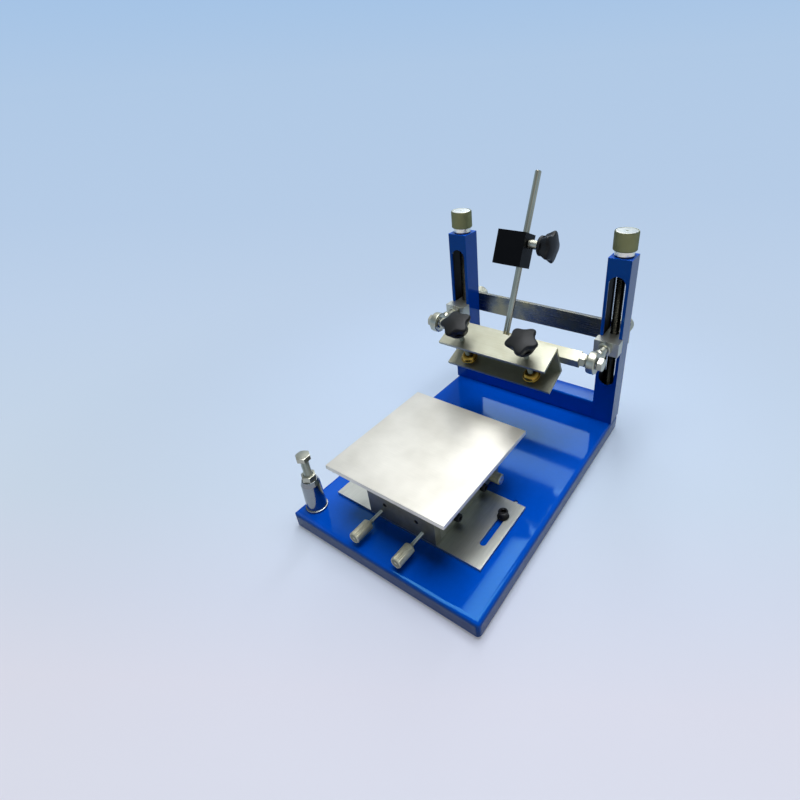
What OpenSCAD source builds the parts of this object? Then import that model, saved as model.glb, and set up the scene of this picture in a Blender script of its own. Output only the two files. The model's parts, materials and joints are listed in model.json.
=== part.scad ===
// Tabletop screen printing press: a folded base, two slotted posts with lift
// screws, a swinging frame clamp with a counterweight, and a platen on a
// registration stage that rides on a slotted slide plate.
//
// X runs across the press, Y from the front to the back and Z up. The origin
// lies on the table, under the middle of the footprint.

/* [Base] */
// Width of the base pan, left to right
base_w = 225; // [205:1:260]
// Length of the base pan, front to back
base_l = 322; // [300:1:380]
// Height of the folded pan, from its lower edge to its top
pan_h = 18; // [14:1:26]
// Thickness of the pan's sheet
pan_sheet = 2; // [1.2:0.1:2.6]
// Outer radius of the pan's folded top edges
pan_bend_r = 5; // [3:0.5:7]
// Radius of the pan's ground vertical corners
pan_corner_r = 4; // [3:0.5:8]
// Width of the flanges folded in under the pan's two sides
pan_flange_w = 16; // [14:1:22]
// Diameter of a rubber foot
foot_d = 14; // [11:0.5:16]
// Height of a rubber foot below the pan
foot_h = 3; // [2:0.5:8]
// Distance of the feet from the pan's front and back edges
foot_inset = 18; // [12:1:40]

/* [Posts] */
// Outer side of the square post tube
post_w = 25; // [24:0.5:30]
// Wall of the post tube
post_wall = 2; // [1.5:0.1:2.5]
// Height of a post above the base
post_h = 205; // [195:1:240]
// Thickness of the plate that closes the top of a post
post_cap_t = 3; // [2:0.5:4]
// Width of the slots in the front and rear walls of a post
slot_w = 18; // [17:0.5:19]
// Height of the lower end of the slots above the base
slot_low = 53; // [40:1:60]
// Height of the upper end of the slots above the base
slot_high = 186; // [175:1:190]

/* [Lift screws] */
// Diameter of a lift screw's thread
lead_d = 10; // [9:0.5:10.5]
// Diameter of the lift screw's plain upper journal
journal_d = 8; // [7:0.5:8.5]
// Diameter of the lift screw's lower pilot
pilot_d = 6; // [5:0.5:7]
// Height of the guide bush at the foot of a post
foot_bush_h = 8; // [6:1:12]
// Outer diameter of the bush in the top plate of a post
top_bush_d = 12; // [11:0.5:14]
// Diameter of the flange on the top bush
top_bush_flange_d = 17; // [15:0.5:20]
// Thickness of the flange on the top bush
top_bush_flange_t = 1; // [0.8:0.1:1.5]
// Diameter of the stop collar under the top plate
collar_d = 16; // [13:0.5:18]
// Thickness of the stop collar
collar_t = 6; // [4:0.5:8]
// Diameter of a height knob
lift_knob_d = 25; // [22:0.5:27]
// Height of the knurled part of a height knob
lift_knob_h = 19.5; // [15:0.5:24]
// Diameter of the hub below a height knob
lift_hub_d = 20.5; // [18:0.5:21.5]
// Height of the hub below a height knob
lift_hub_h = 5.3; // [4:0.1:8]
// Chamfer on the edges of the turned knobs
knob_chamfer = 0.8; // [0.4:0.1:1]

/* [Carriage] */
// Height of the clamp's pivot axis above the base
pivot_z = 110; // [105:1:150]
// Height of a carriage block
carriage_h = 16; // [15:0.5:20]
// Distance that the carriage block's middle lies below the pivot axis
carriage_drop = 1.5; // [0:0.5:2]
// Width of the carriage block's head in front of the post
head_w = 27.5; // [25:0.5:28]
// Depth of the carriage block's head
head_d = 13; // [11:0.5:18]
// Distance that the tie bar's ends lie beyond the lift screws' axes
tie_bar_end = 12; // [8:0.5:13]
// Height of the tie bar behind the posts
tie_bar_h = 25; // [20:0.5:30]
// Thickness of the tie bar
tie_bar_t = 5; // [4:0.5:6]
// Diameter of a lock knob behind the tie bar
lock_knob_d = 19.5; // [16:0.5:22]
// Length of a lock knob
lock_knob_l = 22; // [16:0.5:26]
// Diameter of a lock knob's stud
lock_stud_d = 6; // [5:0.5:7]
// Depth that a lock stud reaches into the carriage block
lock_stud_reach = 6.5; // [5:0.5:7]

/* [Rod ends] */
// Distance of the pivot axis in front of the carriage heads
pivot_reach = 36.5; // [34:0.5:45]
// Outer diameter of a rod end's ring
ring_d = 24; // [22:0.5:26]
// Width of a rod end's ring
ring_w = 9; // [8:0.5:10]
// Diameter of a rod end's ball
ball_d = 15.8; // [15:0.1:16.5]
// Width of a rod end's ball across its flats
ball_w = 12; // [11:0.5:12.5]
// Diameter of the rod end's neck
neck_d = 12; // [10:0.5:13]
// Length from the ball's centre to the end of the neck
neck_reach = 20; // [17:0.5:24]
// Depth of the rod end's thread in the carriage head
shank_depth = 17; // [12:0.5:17]

/* [Clamp] */
// Forward tilt of the clamp at rest, in degrees
clamp_tilt = 23; // [0:1:30]
// Depth of the pivot bar, front to back
pivot_bar_d = 14; // [13:0.5:18]
// Height of the pivot bar
pivot_bar_h = 11; // [10.5:0.5:14]
// Length of the clamp channel
channel_l = 132; // [120:1:150]
// Height of the clamp channel
channel_h = 40; // [38:1:50]
// Depth of the clamp channel's flanges
channel_d = 33; // [30:1:45]
// Thickness of the clamp channel
channel_t = 3; // [2:0.5:4]
// Distance between the two clamp screws
clamp_screw_gap = 81; // [70:1:95]
// Distance between the two screws that hold the channel to the pivot bar
channel_screw_gap = 100; // [96:1:106]
// Distance of the clamp screws in front of the channel's back
clamp_screw_reach = 21.4; // [19:0.1:24]
// Diameter of a clamp pad
pad_d = 19.6; // [16:0.1:20]
// Thickness of a clamp pad's rim
pad_rim_t = 3; // [2:0.5:4]
// Height of a clamp pad's crown above its rim
pad_crown_h = 5; // [4:0.5:6]
// Gap between a clamp pad and the lower flange at rest
pad_gap = 3.5; // [1:0.5:12]
// Height of the star knob's hub foot above the channel
star_rise = 13.5; // [8:0.5:20]

/* [Star knobs] */
// Diameter of a clamp screw's star knob
star_d = 36; // [28:0.5:38]
// Thickness of a star knob's lobes
star_t = 14; // [12:0.5:20]
// Height of a star knob's hub below its lobes
star_hub_h = 4; // [2:0.5:6]
// Diameter of a star knob's hub
star_hub_d = 22; // [14:0.5:23]
// Number of lobes on a star knob
star_lobes = 5; // [5:1:6]
// Turn of the left clamp screw's star knob about its own axis
left_star_turn = 52; // [0:1:72]
// Turn of the right clamp screw's star knob about its own axis
right_star_turn = 68; // [0:1:72]
// Turn of the counterweight's star knob about its own axis
weight_star_turn = 28; // [0:1:72]
// Diameter of a star knob's stud
star_stud_d = 6; // [5:0.5:7]

/* [Counterweight] */
// Diameter of the counterweight rod
rod_d = 7; // [5:0.5:8]
// Length of the counterweight rod above the pivot axis
rod_l = 186; // [160:1:220]
// Lean of the rod back from the clamp's upright, in degrees
rod_lean = 46.5; // [40:0.5:50]
// Place of the rod to the left of the middle
rod_x = 4; // [0:0.5:8]
// Distance of the rod's line in front of the pivot axis
rod_foot = 2.5; // [1:0.1:3]
// Width of the counterweight block
weight_w = 34; // [28:0.5:60]
// Height of the counterweight block along the rod
weight_h = 37; // [28:1:45]
// Thickness of the counterweight block
weight_t = 25; // [15:1:30]
// Distance from the rod to the right end of the block
weight_edge = 6; // [5:0.5:14]
// Place of the block's lower face along the rod
weight_place = 84; // [50:0.5:110]
// Place of the lock screw above the block's lower face
weight_screw_rise = 26; // [18:0.5:28]
// Diameter of the counterweight's star knob
weight_star_d = 36; // [28:0.5:38]
// Diameter of the collar between the block and its star knob
weight_collar_d = 10; // [8:0.5:12]
// Length of the collar between the block and its star knob
weight_collar_l = 13; // [8:0.5:16]

/* [Slide plate] */
// Width of the slide plate
plate_w = 178; // [168:1:190]
// Length of the slide plate, front to back
plate_l = 84; // [80:1:100]
// Thickness of the slide plate
plate_t = 3; // [2.5:0.5:5]
// Distance of the slide plate from the front of the base
plate_y = 42; // [38:1:50]
// Place of the slide plate's middle to the right of the base's middle
plate_x = -1.6; // [-3:0.1:3]
// Distance from the plate's middle to a slot
plate_slot_x = 76; // [70:0.5:80]
// Width of a slot in the slide plate
plate_slot_w = 6.5; // [6.4:0.1:7]
// Length of a slot in the slide plate
plate_slot_l = 43; // [30:1:50]
// Distance of the slots' middle behind the plate's middle
plate_slot_back = 2; // [0:0.5:6]
// Diameter of a spare screw hole in the base
spare_hole_d = 4.5; // [3:0.5:6]
// Distance of the spare holes behind the slide plate
spare_hole_back = 3.5; // [3:0.5:12]

/* [Registration stage] */
// Outer width of the stage's frame
stage_w = 82; // [76:1:90]
// Outer length of the stage's frame, front to back
stage_l = 112; // [106:1:120]
// Height of the stage's frame
stage_h = 28; // [26:1:34]
// Thickness of the stage's front and rear bars
stage_bar_t = 8; // [6:0.5:8]
// Thickness of the stage's side rails
stage_rail_t = 10; // [8:0.5:10]
// Height of the cross slide's floor
cross_floor_h = 5; // [4:0.5:6]
// Thickness of the cross slide's front wall
cross_wall_t = 5; // [4:0.5:6]
// Travel of the stage each way, in both directions
stage_travel = 3; // [1:0.5:3]
// Height of the two front adjusters above the base
adjuster_z = 10.5; // [10:0.5:13]
// Distance between the two front adjusters
adjuster_gap = 51; // [44:1:52]
// Diameter of an adjuster's screw
adjuster_d = 4; // [3:0.5:5]
// Diameter of an adjuster's knob
adjuster_knob_d = 11.5; // [9:0.5:14]
// Length of a front adjuster's knob
adjuster_knob_l = 20.5; // [14:0.5:24]
// Length of bare screw between the stage and a front knob
adjuster_bare = 18; // [10:0.5:20]
// Height of the side adjuster above the base
side_adjuster_z = 17; // [15:0.5:18]
// Distance of the side adjuster in front of the stage's back end
side_adjuster_back = 20; // [19:0.5:22]
// Length of the side adjuster's knob
side_knob_l = 12; // [9:0.5:16]
// Length of bare screw between the stage and the side knob
side_bare = 4; // [3.5:0.5:8]
// Diameter of the side adjuster's thrust pad
thrust_pad_d = 8; // [7:0.5:9]
// Thickness of the side adjuster's thrust pad
thrust_pad_t = 3; // [2.5:0.5:4]
// Distance between the stage's two lock screws
stage_lock_gap = 46; // [36:1:50]
// Distance between the stage's two front stop screws
stage_stop_gap = 39; // [34:1:40]
// Height of the front stop screws above the base
stage_stop_z = 22; // [21:0.5:24]

/* [Platen] */
// Width of the platen
platen_w = 138; // [120:1:160]
// Length of the platen, front to back
platen_l = 140; // [120:1:160]
// Thickness of the platen
platen_t = 4.5; // [3:0.5:6]
// Height of the platen's top above the base
platen_z = 66; // [60:1:72]
// Distance of the platen's middle in front of the stage's middle
platen_fore = 5.5; // [0:0.5:8]
// Radius of the platen's corners
platen_corner_r = 1; // [0.5:0.5:5]
// Side of the square turntable under the platen
turntable_w = 70; // [60:1:80]
// Thickness of the turntable
turntable_t = 6; // [5:0.5:8]
// Diameter of the turntable's centre pin
turntable_pin_d = 12; // [8:0.5:16]
// Diameter of a standoff between the turntable and the platen
standoff_d = 12; // [10:0.5:14]
// Distance between the standoffs, both ways
standoff_gap = 52; // [44:1:56]

/* [Frame rest] */
// Distance of the rest pillar from the left side of the base
rest_x = 15; // [14:0.5:20]
// Distance of the rest pillar from the front of the base
rest_y = 19; // [15:0.5:24]
// Diameter of the rest pillar's foot ring
rest_ring_d = 23; // [22:0.5:26]
// Height of the rest pillar's foot ring
rest_ring_h = 2.5; // [1.5:0.5:4]
// Diameter of the rest pillar at its foot
rest_low_d = 20.5; // [19:0.5:21]
// Diameter of the rest pillar at its shoulder
rest_high_d = 19; // [17:0.5:20]
// Height of the rest pillar's shoulder
rest_shoulder_z = 33; // [28:1:36]
// Height of the whole rest pillar
rest_h = 38; // [36:1:42]
// Diameter of the rest pillar's flat top
rest_top_d = 15; // [15:0.5:16]
// Height of the rest bolt's top above the base
rest_bolt_z = 69.4; // [62:0.2:72]
// Length of the rest bolt under its head
rest_bolt_l = 45; // [40:1:48]

/* [Fasteners] */
// Diameter of the large hexagon bolts
m8_d = 8; // [7.5:0.5:8]
// Width across flats of the large hexagon heads and nuts
m8_flats = 13; // [12:0.5:14]
// Height of a large hexagon head
m8_head_h = 5.3; // [4:0.1:6]
// Height of a large hexagon nut
m8_nut_h = 6.5; // [5:0.1:7]
// Thickness of the washers beside the rod end balls
m8_washer_t = 1; // [0.8:0.1:2]
// Length of a pivot bolt's thread in the pivot bar
pivot_bolt_reach = 20; // [12:1:24]
// Diameter of the slide plate's bolts
m6_d = 6; // [5:0.5:6.2]
// Diameter of a slide plate bolt's head
m6_head_d = 10; // [9:0.5:11]
// Height of a slide plate bolt's head
m6_head_h = 6; // [5:0.5:7]
// Diameter of a washer under a slide plate bolt
m6_washer_d = 12; // [11:0.5:14]
// Thickness of a washer under a slide plate bolt
m6_washer_t = 1.2; // [0.8:0.1:2]
// Width across flats of a slide plate nut
m6_flats = 10; // [9:0.5:11]
// Height of a slide plate nut
m6_nut_h = 5; // [4:0.5:6]
// Diameter of the small cap screws
m5_d = 5; // [4:0.5:5]
// Diameter of a small cap screw's head
m5_head_d = 8.5; // [7.5:0.5:9]
// Height of a small cap screw's head
m5_head_h = 5; // [4:0.5:6]
// Width across flats of a foot nut
foot_nut_flats = 7; // [6:0.5:8]
// Height of a foot nut
foot_nut_h = 3; // [2.5:0.1:3.5]
// Diameter of a foot screw
foot_screw_d = 4; // [3:0.5:4.5]

/* [Fits] */
// Radial clearance of shafts, threads and pins in their holes
fit = 0.05; // [0.03:0.01:0.08]
// Gap between flat faces that slide on each other
slide_gap = 0.1; // [0.1:0.05:0.2]
// Gap between parts that pass each other freely
free_gap = 0.5; // [0.4:0.1:0.8]
// Radial clearance of a bolt in a plain hole
bolt_play = 0.25; // [0.2:0.05:0.4]

/* [Hidden] */
$fn = 64;

// Small overshoot that makes a cut pass clean through a face
cut = 1;
// Smallest wall left between a blind hole and what lies beyond it
min_wall = 1;
// Length of thread that stands out of a nut
thread_out = 1;
// Share of a knob's height that its blind bore reaches
bore_share = 0.6;
// Radius of a star knob's lobe tips, its radius in the valleys between them, and the radius of the
// valleys' own hollow curve, as shares of its diameter
star_lobe_share = 0.078;
star_valley_share = 0.367;
star_hollow_share = 0.556;
// Width of a cap screw's hexagon socket, as a share of its thread
key_share = 0.8;

// Heights and places of the main planes
top_z = foot_h + pan_h;
rear_reach = tie_bar_t + free_gap + lock_knob_l + free_gap;
depth = base_l + rear_reach;
front_y = -depth / 2;

// Rubber feet: their places, and the recess for the screw's head
foot_x = base_w / 2 - pan_sheet - pan_flange_w / 2;
foot_y = base_l / 2 - foot_inset;
foot_recess_d = foot_nut_flats + 2 * free_gap;
foot_recess = foot_h / 2;
foot_head_t = foot_recess - free_gap;

// Posts and lift screws
post_x = base_w / 2 - post_w / 2;
post_y = base_l - post_w / 2;
post_front = base_l - post_w;
post_inner = post_w - 2 * post_wall;
lead_top = post_h - post_cap_t - collar_t - slide_gap;
knob_seat = post_h + top_bush_flange_t + slide_gap;
journal_top = knob_seat + lift_hub_h + lift_knob_h * bore_share;

// Carriage
head_back = post_front - free_gap;
head_front = head_back - head_d;
stem_back = base_l + free_gap;
stem_gap = 2 * slide_gap;
stem_w = slot_w - 2 * stem_gap;
carriage_z = pivot_z - carriage_drop;
tie_back = stem_back + tie_bar_t;
tie_bar_l = 2 * (post_x + tie_bar_end);

// Pivot and clamp
pivot_y = head_front - pivot_reach;
pivot_bar_l = 2 * (post_x - ball_w / 2 - m8_washer_t - m8_nut_h);
bar_front = pivot_bar_d / 2;
channel_top = channel_h / 2;
clamp_screw_y = -(bar_front + clamp_screw_reach);
clamp_screw_x = clamp_screw_gap / 2;
pad_foot = -channel_top + channel_t + pad_gap;
pad_step = 1;
pad_wall = 1.5;
pad_socket = pad_foot + pad_rim_t + pad_step;
star_foot = channel_top + star_rise;
star_bore = star_hub_h + star_t * bore_share;
channel_screw_x = channel_screw_gap / 2;

// Counterweight, with the rod's foot just below the pivot axis
rod_down = 1;
weight_left = weight_w - weight_edge;
weight_screw_z = weight_place + weight_screw_rise;
weight_star_x = weight_edge + free_gap + weight_collar_l;

// Slide plate, stage and platen
plate_low = slide_gap;
plate_high = plate_low + plate_t;
slot_mid = plate_y + plate_l / 2 + plate_slot_back;
slot_back = slot_mid + plate_slot_l / 2;
slide_bolt_x = [plate_x - plate_slot_x, plate_x + plate_slot_x];
slide_bolt_y = slot_back - plate_slot_w / 2;
adjuster_pin_d = adjuster_d - 1;
clip_d = adjuster_d + 2;
clip_t = 1;
stage_low = plate_high;
stage_high = stage_low + stage_h;
stage_front = plate_y;
stage_back = stage_front + stage_l;
stage_mid = (stage_front + stage_back) / 2;
rail_inner = stage_w / 2 - stage_rail_t;
cross_low = stage_low + slide_gap;
cross_floor = cross_low + cross_floor_h;
cross_front = stage_front + stage_bar_t + stage_travel + 2 * free_gap;
cross_back = stage_back - stage_bar_t - stage_travel - free_gap;
cross_wall_back = cross_front + cross_wall_t;
cross_wall_high = adjuster_z + adjuster_d + cross_wall_t / 2;
block_front = cross_wall_back + clip_t + 2 * free_gap;
block_back = cross_back;
block_half = rail_inner - stage_travel - 2 * free_gap;
block_low = cross_floor + slide_gap;
block_high = stage_high + free_gap;
key_w = 10;
key_h = cross_floor_h / 2;
side_y = stage_back - side_adjuster_back;
thrust_lip = 2;
thrust_x = block_half - thrust_lip - slide_gap - thrust_pad_t;
thrust_neck_d = adjuster_d + 1;
turntable_low = block_high + slide_gap;
turntable_high = turntable_low + turntable_t;
platen_low = platen_z - platen_t;
platen_mid = stage_mid - platen_fore;

// Frame rest, with the depth that its lower screw reaches into the pillar
rest_head_low = rest_bolt_z - m8_head_h;
rest_place_x = rest_x - base_w / 2;
rest_screw_up = 6;

// Places a piece in the base's own frame: front edge at Y = 0, top face at Z = 0
module on_base() {
    translate([0, front_y, top_z]) children();
}

// Places a piece in the clamp's frame: pivot axis along X, front towards -Y
module on_clamp() {
    on_base() translate([0, pivot_y, pivot_z]) rotate([clamp_tilt, 0, 0]) children();
}

// Places a piece along the counterweight rod, which runs along Z
module on_rod() {
    on_clamp() translate([-rod_x, -rod_foot, 0]) rotate([-rod_lean, 0, 0]) children();
}

// Places a piece in the slide plate's frame, centred on the plate in X
module on_plate() {
    on_base() translate([plate_x, 0, 0]) children();
}

// Turns a piece that was drawn along Z so that it runs along +X
module along_x() {
    rotate([0, 90, 0]) children();
}

// Turns a piece that was drawn along Z so that it runs along +Y
module along_y() {
    rotate([-90, 0, 0]) children();
}

// Outline of a rectangle, centred, with all four corners rounded
module round_rect(w, l, r) {
    square([w - 2 * r, l], center = true);
    square([w, l - 2 * r], center = true);
    for (x = [-1, 1], y = [-1, 1])
        translate([x * (w / 2 - r), y * (l / 2 - r)]) circle(r = r);
}

// Outline of a slot of full length l and width w, along Y
module slot_outline(w, l) {
    square([w, l - w], center = true);
    for (y = [-1, 1])
        translate([0, y * (l - w) / 2]) circle(d = w);
}

// Hexagonal prism, with its width across flats
module hex_prism(flats, h) {
    cylinder(d = flats / cos(30), h = h, $fn = 6);
}

// Hexagon nut, standing on Z = 0
module hex_nut(flats, h, bore_d) {
    difference() {
        hex_prism(flats, h);
        translate([0, 0, -cut]) cylinder(d = bore_d, h = h + 2 * cut);
    }
}

// Socket head cap screw: head above Z = 0, shank below
module cap_screw(d, head_d, head_h, l) {
    difference() {
        union() {
            cylinder(d = head_d, h = head_h);
            translate([0, 0, -l]) cylinder(d = d, h = l + head_h / 2);
        }
        translate([0, 0, head_h / 2]) hex_prism(d * key_share, head_h);
    }
}

// Turned cylinder with both edges chamfered
module chamfered(d, h, c) {
    cylinder(d1 = d - 2 * c, d2 = d, h = c);
    translate([0, 0, c]) cylinder(d = d, h = h - 2 * c);
    translate([0, 0, h - c]) cylinder(d1 = d, d2 = d - 2 * c, h = c);
}

// Outline of a star knob with rounded lobes and shallow hollow sides between them
module star_outline(d) {
    lobe_r = d * star_lobe_share;
    hollow_r = d * star_hollow_share;
    difference() {
        union() {
            circle(r = d / 2 - lobe_r);
            for (i = [0 : star_lobes - 1])
                rotate(i * 360 / star_lobes) translate([d / 2 - lobe_r, 0]) circle(r = lobe_r);
        }
        for (i = [0 : star_lobes - 1])
            rotate((i + 0.5) * 360 / star_lobes)
                translate([d * star_valley_share + hollow_r, 0]) circle(r = hollow_r);
    }
}

// Star knob: hub standing on Z = 0, tapered lobes above it, blind bore from below
module star_knob(d) {
    foot_share = 0.75;
    difference() {
        union() {
            cylinder(d = star_hub_d, h = star_hub_h + star_t / 2);
            translate([0, 0, star_hub_h]) intersection() {
                linear_extrude(star_t) star_outline(d);
                union() {
                    cylinder(d1 = d * foot_share, d2 = d, h = star_t * foot_share);
                    translate([0, 0, star_t * foot_share])
                        cylinder(d1 = d, d2 = d - star_t * (1 - foot_share), h = star_t * (1 - foot_share));
                }
            }
        }
        translate([0, 0, -cut]) cylinder(d = star_stud_d + 2 * fit, h = star_bore + cut);
    }
}

// Outline of the pan's section: straight sides and rounded upper corners
module pan_section(w, h, r) {
    translate([-w / 2, 0]) square([w, h - r]);
    translate([-w / 2 + r, 0]) square([w - 2 * r, h]);
    for (x = [-1, 1])
        translate([x * (w / 2 - r), h - r]) circle(r = r);
}

// Solid block with the pan's rounded top edges and upright corners, standing on Z = 0
module pan_block(w, l, h, r, corner) {
    intersection() {
        translate([0, l / 2, 0]) rotate([90, 0, 0]) linear_extrude(l) pan_section(w, h, r);
        translate([-w / 2, 0, 0]) rotate([90, 0, 90]) linear_extrude(w) pan_section(l, h, r);
        linear_extrude(h) round_rect(w, l, corner);
    }
}

// Folded sheet pan with in-turned side flanges, drilled for every fastener
module base_pan() {
    inner_w = base_w - 2 * pan_sheet;
    inner_l = base_l - 2 * pan_sheet;
    color("royalblue") on_base() {
        translate([0, base_l / 2, -pan_h]) difference() {
            pan_block(base_w, base_l, pan_h, pan_bend_r, pan_corner_r);
            translate([0, 0, -cut])
                pan_block(inner_w, inner_l, pan_h - pan_sheet + cut, pan_bend_r - pan_sheet,
                          pan_corner_r - pan_sheet);
            for (x = slide_bolt_x) {
                translate([x, slide_bolt_y - base_l / 2, 0])
                    cylinder(d = m6_d + 2 * bolt_play, h = pan_h + cut);
                translate([x, plate_y + plate_l + spare_hole_back - base_l / 2, 0])
                    cylinder(d = spare_hole_d, h = pan_h + cut);
            }
            translate([rest_place_x, rest_y - base_l / 2, 0])
                cylinder(d = m6_d + 2 * bolt_play, h = pan_h + cut);
        }
        for (side = [-1, 1]) difference() {
            translate([side * (inner_w / 2 - pan_flange_w / 2), base_l / 2, -pan_h + pan_sheet / 2])
                cube([pan_flange_w, inner_l, pan_sheet], center = true);
            for (end = [-1, 1])
                translate([side * foot_x, base_l / 2 + end * foot_y, -pan_h - cut])
                    cylinder(d = foot_screw_d + 2 * bolt_play, h = pan_sheet + 2 * cut);
        }
    }
}

// Repeats a piece at the four feet, with Z = 0 at the pan's lower edge
module at_feet() {
    on_base()
        for (x = [-1, 1], y = [-1, 1])
            translate([x * foot_x, base_l / 2 + y * foot_y, -pan_h]) children();
}

// Four rubber feet with a countersunk recess for their screws
module rubber_feet() {
    color("black") at_feet() difference() {
        translate([0, 0, -foot_h]) cylinder(d = foot_d, h = foot_h);
        translate([0, 0, -foot_h - cut]) cylinder(d = foot_screw_d + 2 * bolt_play, h = foot_h + 2 * cut);
        translate([0, 0, -foot_h - cut]) cylinder(d = foot_recess_d, h = foot_recess + cut);
    }
}

// Four foot screws with their nuts on top of the pan's flanges
module foot_screws() {
    color("silver") at_feet() {
        translate([0, 0, -foot_recess])
            cylinder(d = foot_screw_d, h = foot_recess + pan_sheet + foot_nut_h + thread_out);
        translate([0, 0, -foot_recess - foot_head_t]) cylinder(d = foot_nut_flats, h = foot_head_t);
        translate([0, 0, pan_sheet]) hex_prism(foot_nut_flats, foot_nut_h);
    }
}

// Slotted square post closed by a drilled top plate
module post(side) {
    slot_l = slot_high - slot_low;
    on_base() translate([side * post_x, post_y, 0]) difference() {
        translate([-post_w / 2, -post_w / 2, 0]) cube([post_w, post_w, post_h]);
        translate([-post_inner / 2, -post_inner / 2, -cut])
            cube([post_inner, post_inner, post_h - post_cap_t + cut]);
        translate([0, post_w / 2 + cut, slot_low + slot_l / 2]) rotate([90, 0, 0])
            linear_extrude(post_w + 2 * cut) slot_outline(slot_w, slot_l);
        translate([0, 0, post_h - post_cap_t - cut])
            cylinder(d = top_bush_d + 2 * fit, h = post_cap_t + 2 * cut);
    }
}

// Post at the left rear corner
module left_post() {
    color("mediumblue") post(-1);
}

// Post at the right rear corner
module right_post() {
    color("mediumblue") post(1);
}

// Square tube that ties the feet of the posts together
module cross_tube() {
    l = 2 * (post_x - post_w / 2);
    color("mediumblue") on_base() translate([-l / 2, post_y, post_w / 2]) difference() {
        translate([0, -post_w / 2, -post_w / 2]) cube([l, post_w, post_w]);
        translate([-cut, -post_inner / 2, -post_inner / 2]) cube([l + 2 * cut, post_inner, post_inner]);
    }
}

// Repeats a piece at the axes of both lift screws
module at_lift_screws() {
    on_base() for (side = [-1, 1]) translate([side * post_x, post_y, 0]) children();
}

// Flanged bushes that carry the lift screws in the top plates
module top_bushes() {
    color("goldenrod") at_lift_screws() difference() {
        union() {
            translate([0, 0, post_h - post_cap_t]) cylinder(d = top_bush_d, h = post_cap_t);
            translate([0, 0, post_h]) cylinder(d = top_bush_flange_d, h = top_bush_flange_t);
        }
        translate([0, 0, post_h - post_cap_t - cut])
            cylinder(d = journal_d + 2 * fit, h = post_cap_t + top_bush_flange_t + 2 * cut);
    }
}

// Square guide bushes that hold the lower pilots inside the posts
module foot_bushes() {
    side = post_inner - 2 * slide_gap;
    color("goldenrod") at_lift_screws() difference() {
        translate([-side / 2, -side / 2, 0]) cube([side, side, foot_bush_h]);
        translate([0, 0, -cut]) cylinder(d = pilot_d + 2 * fit, h = foot_bush_h + 2 * cut);
    }
}

// Lift screw: lower pilot, threaded length and upper journal
module lead_screw(side) {
    on_base() translate([side * post_x, post_y, 0]) {
        translate([0, 0, slide_gap]) cylinder(d = pilot_d, h = foot_bush_h);
        translate([0, 0, foot_bush_h + slide_gap])
            cylinder(d = lead_d, h = lead_top - foot_bush_h - slide_gap);
        translate([0, 0, lead_top]) cylinder(d = journal_d, h = journal_top - lead_top);
    }
}

// Knurled height knob with its hub
module height_knob(side) {
    on_base() translate([side * post_x, post_y, knob_seat]) difference() {
        union() {
            cylinder(d = lift_hub_d, h = lift_hub_h);
            translate([0, 0, lift_hub_h]) chamfered(lift_knob_d, lift_knob_h, knob_chamfer);
        }
        translate([0, 0, -cut])
            cylinder(d = journal_d + 2 * fit, h = journal_top - knob_seat + cut + slide_gap);
    }
}

// Stop collar that keeps a lift screw from rising
module screw_collar(side) {
    on_base() translate([side * post_x, post_y, lead_top]) difference() {
        cylinder(d = collar_d, h = collar_t);
        translate([0, 0, -cut]) cylinder(d = journal_d + 2 * fit, h = collar_t + 2 * cut);
    }
}

module left_lead_screw() {
    color("silver") lead_screw(-1);
}

module right_lead_screw() {
    color("silver") lead_screw(1);
}

module left_height_knob() {
    color("darkkhaki") height_knob(-1);
}

module right_height_knob() {
    color("darkkhaki") height_knob(1);
}

module left_screw_collar() {
    color("silver") screw_collar(-1);
}

module right_screw_collar() {
    color("silver") screw_collar(1);
}

// T-shaped carriage block: head in front of the post, stem through both slots
module carriage_block(side) {
    stem_l = stem_back - head_back;
    on_base() translate([side * post_x, 0, carriage_z - carriage_h / 2]) difference() {
        union() {
            translate([-head_w / 2, head_front, 0]) cube([head_w, head_d, carriage_h]);
            translate([-stem_w / 2, head_back - cut, 0]) cube([stem_w, stem_l + cut, carriage_h]);
        }
        translate([0, post_y, -cut]) cylinder(d = lead_d + 2 * fit, h = carriage_h + 2 * cut);
        translate([0, head_front - cut, carriage_drop + carriage_h / 2]) along_y()
            cylinder(d = m8_d + 2 * fit, h = shank_depth + cut);
        translate([0, stem_back - lock_stud_reach, carriage_drop + carriage_h / 2]) along_y()
            cylinder(d = lock_stud_d + 2 * fit, h = lock_stud_reach + cut);
    }
}

module left_carriage_block() {
    color("lightgray") carriage_block(-1);
}

module right_carriage_block() {
    color("lightgray") carriage_block(1);
}

// Flat bar behind the posts that ties the two carriages together
module rear_tie_bar() {
    color("gainsboro") on_base() translate([0, stem_back, pivot_z]) difference() {
        translate([-tie_bar_l / 2, 0, -tie_bar_h / 2]) cube([tie_bar_l, tie_bar_t, tie_bar_h]);
        for (side = [-1, 1])
            translate([side * post_x, -cut, 0]) along_y()
                cylinder(d = lock_stud_d + 2 * bolt_play, h = tie_bar_t + 2 * cut);
    }
}

// Knurled lock knob with its stud, pressing the tie bar to the carriage
module lock_knob(side) {
    stud_l = lock_stud_reach - slide_gap + tie_bar_t + free_gap;
    on_base() translate([side * post_x, tie_back + free_gap, pivot_z]) along_y() {
        chamfered(lock_knob_d, lock_knob_l, knob_chamfer);
        translate([0, 0, -stud_l]) cylinder(d = lock_stud_d, h = stud_l + cut);
    }
}

module left_lock_knob() {
    color("silver") lock_knob(-1);
}

module right_lock_knob() {
    color("silver") lock_knob(1);
}

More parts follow.
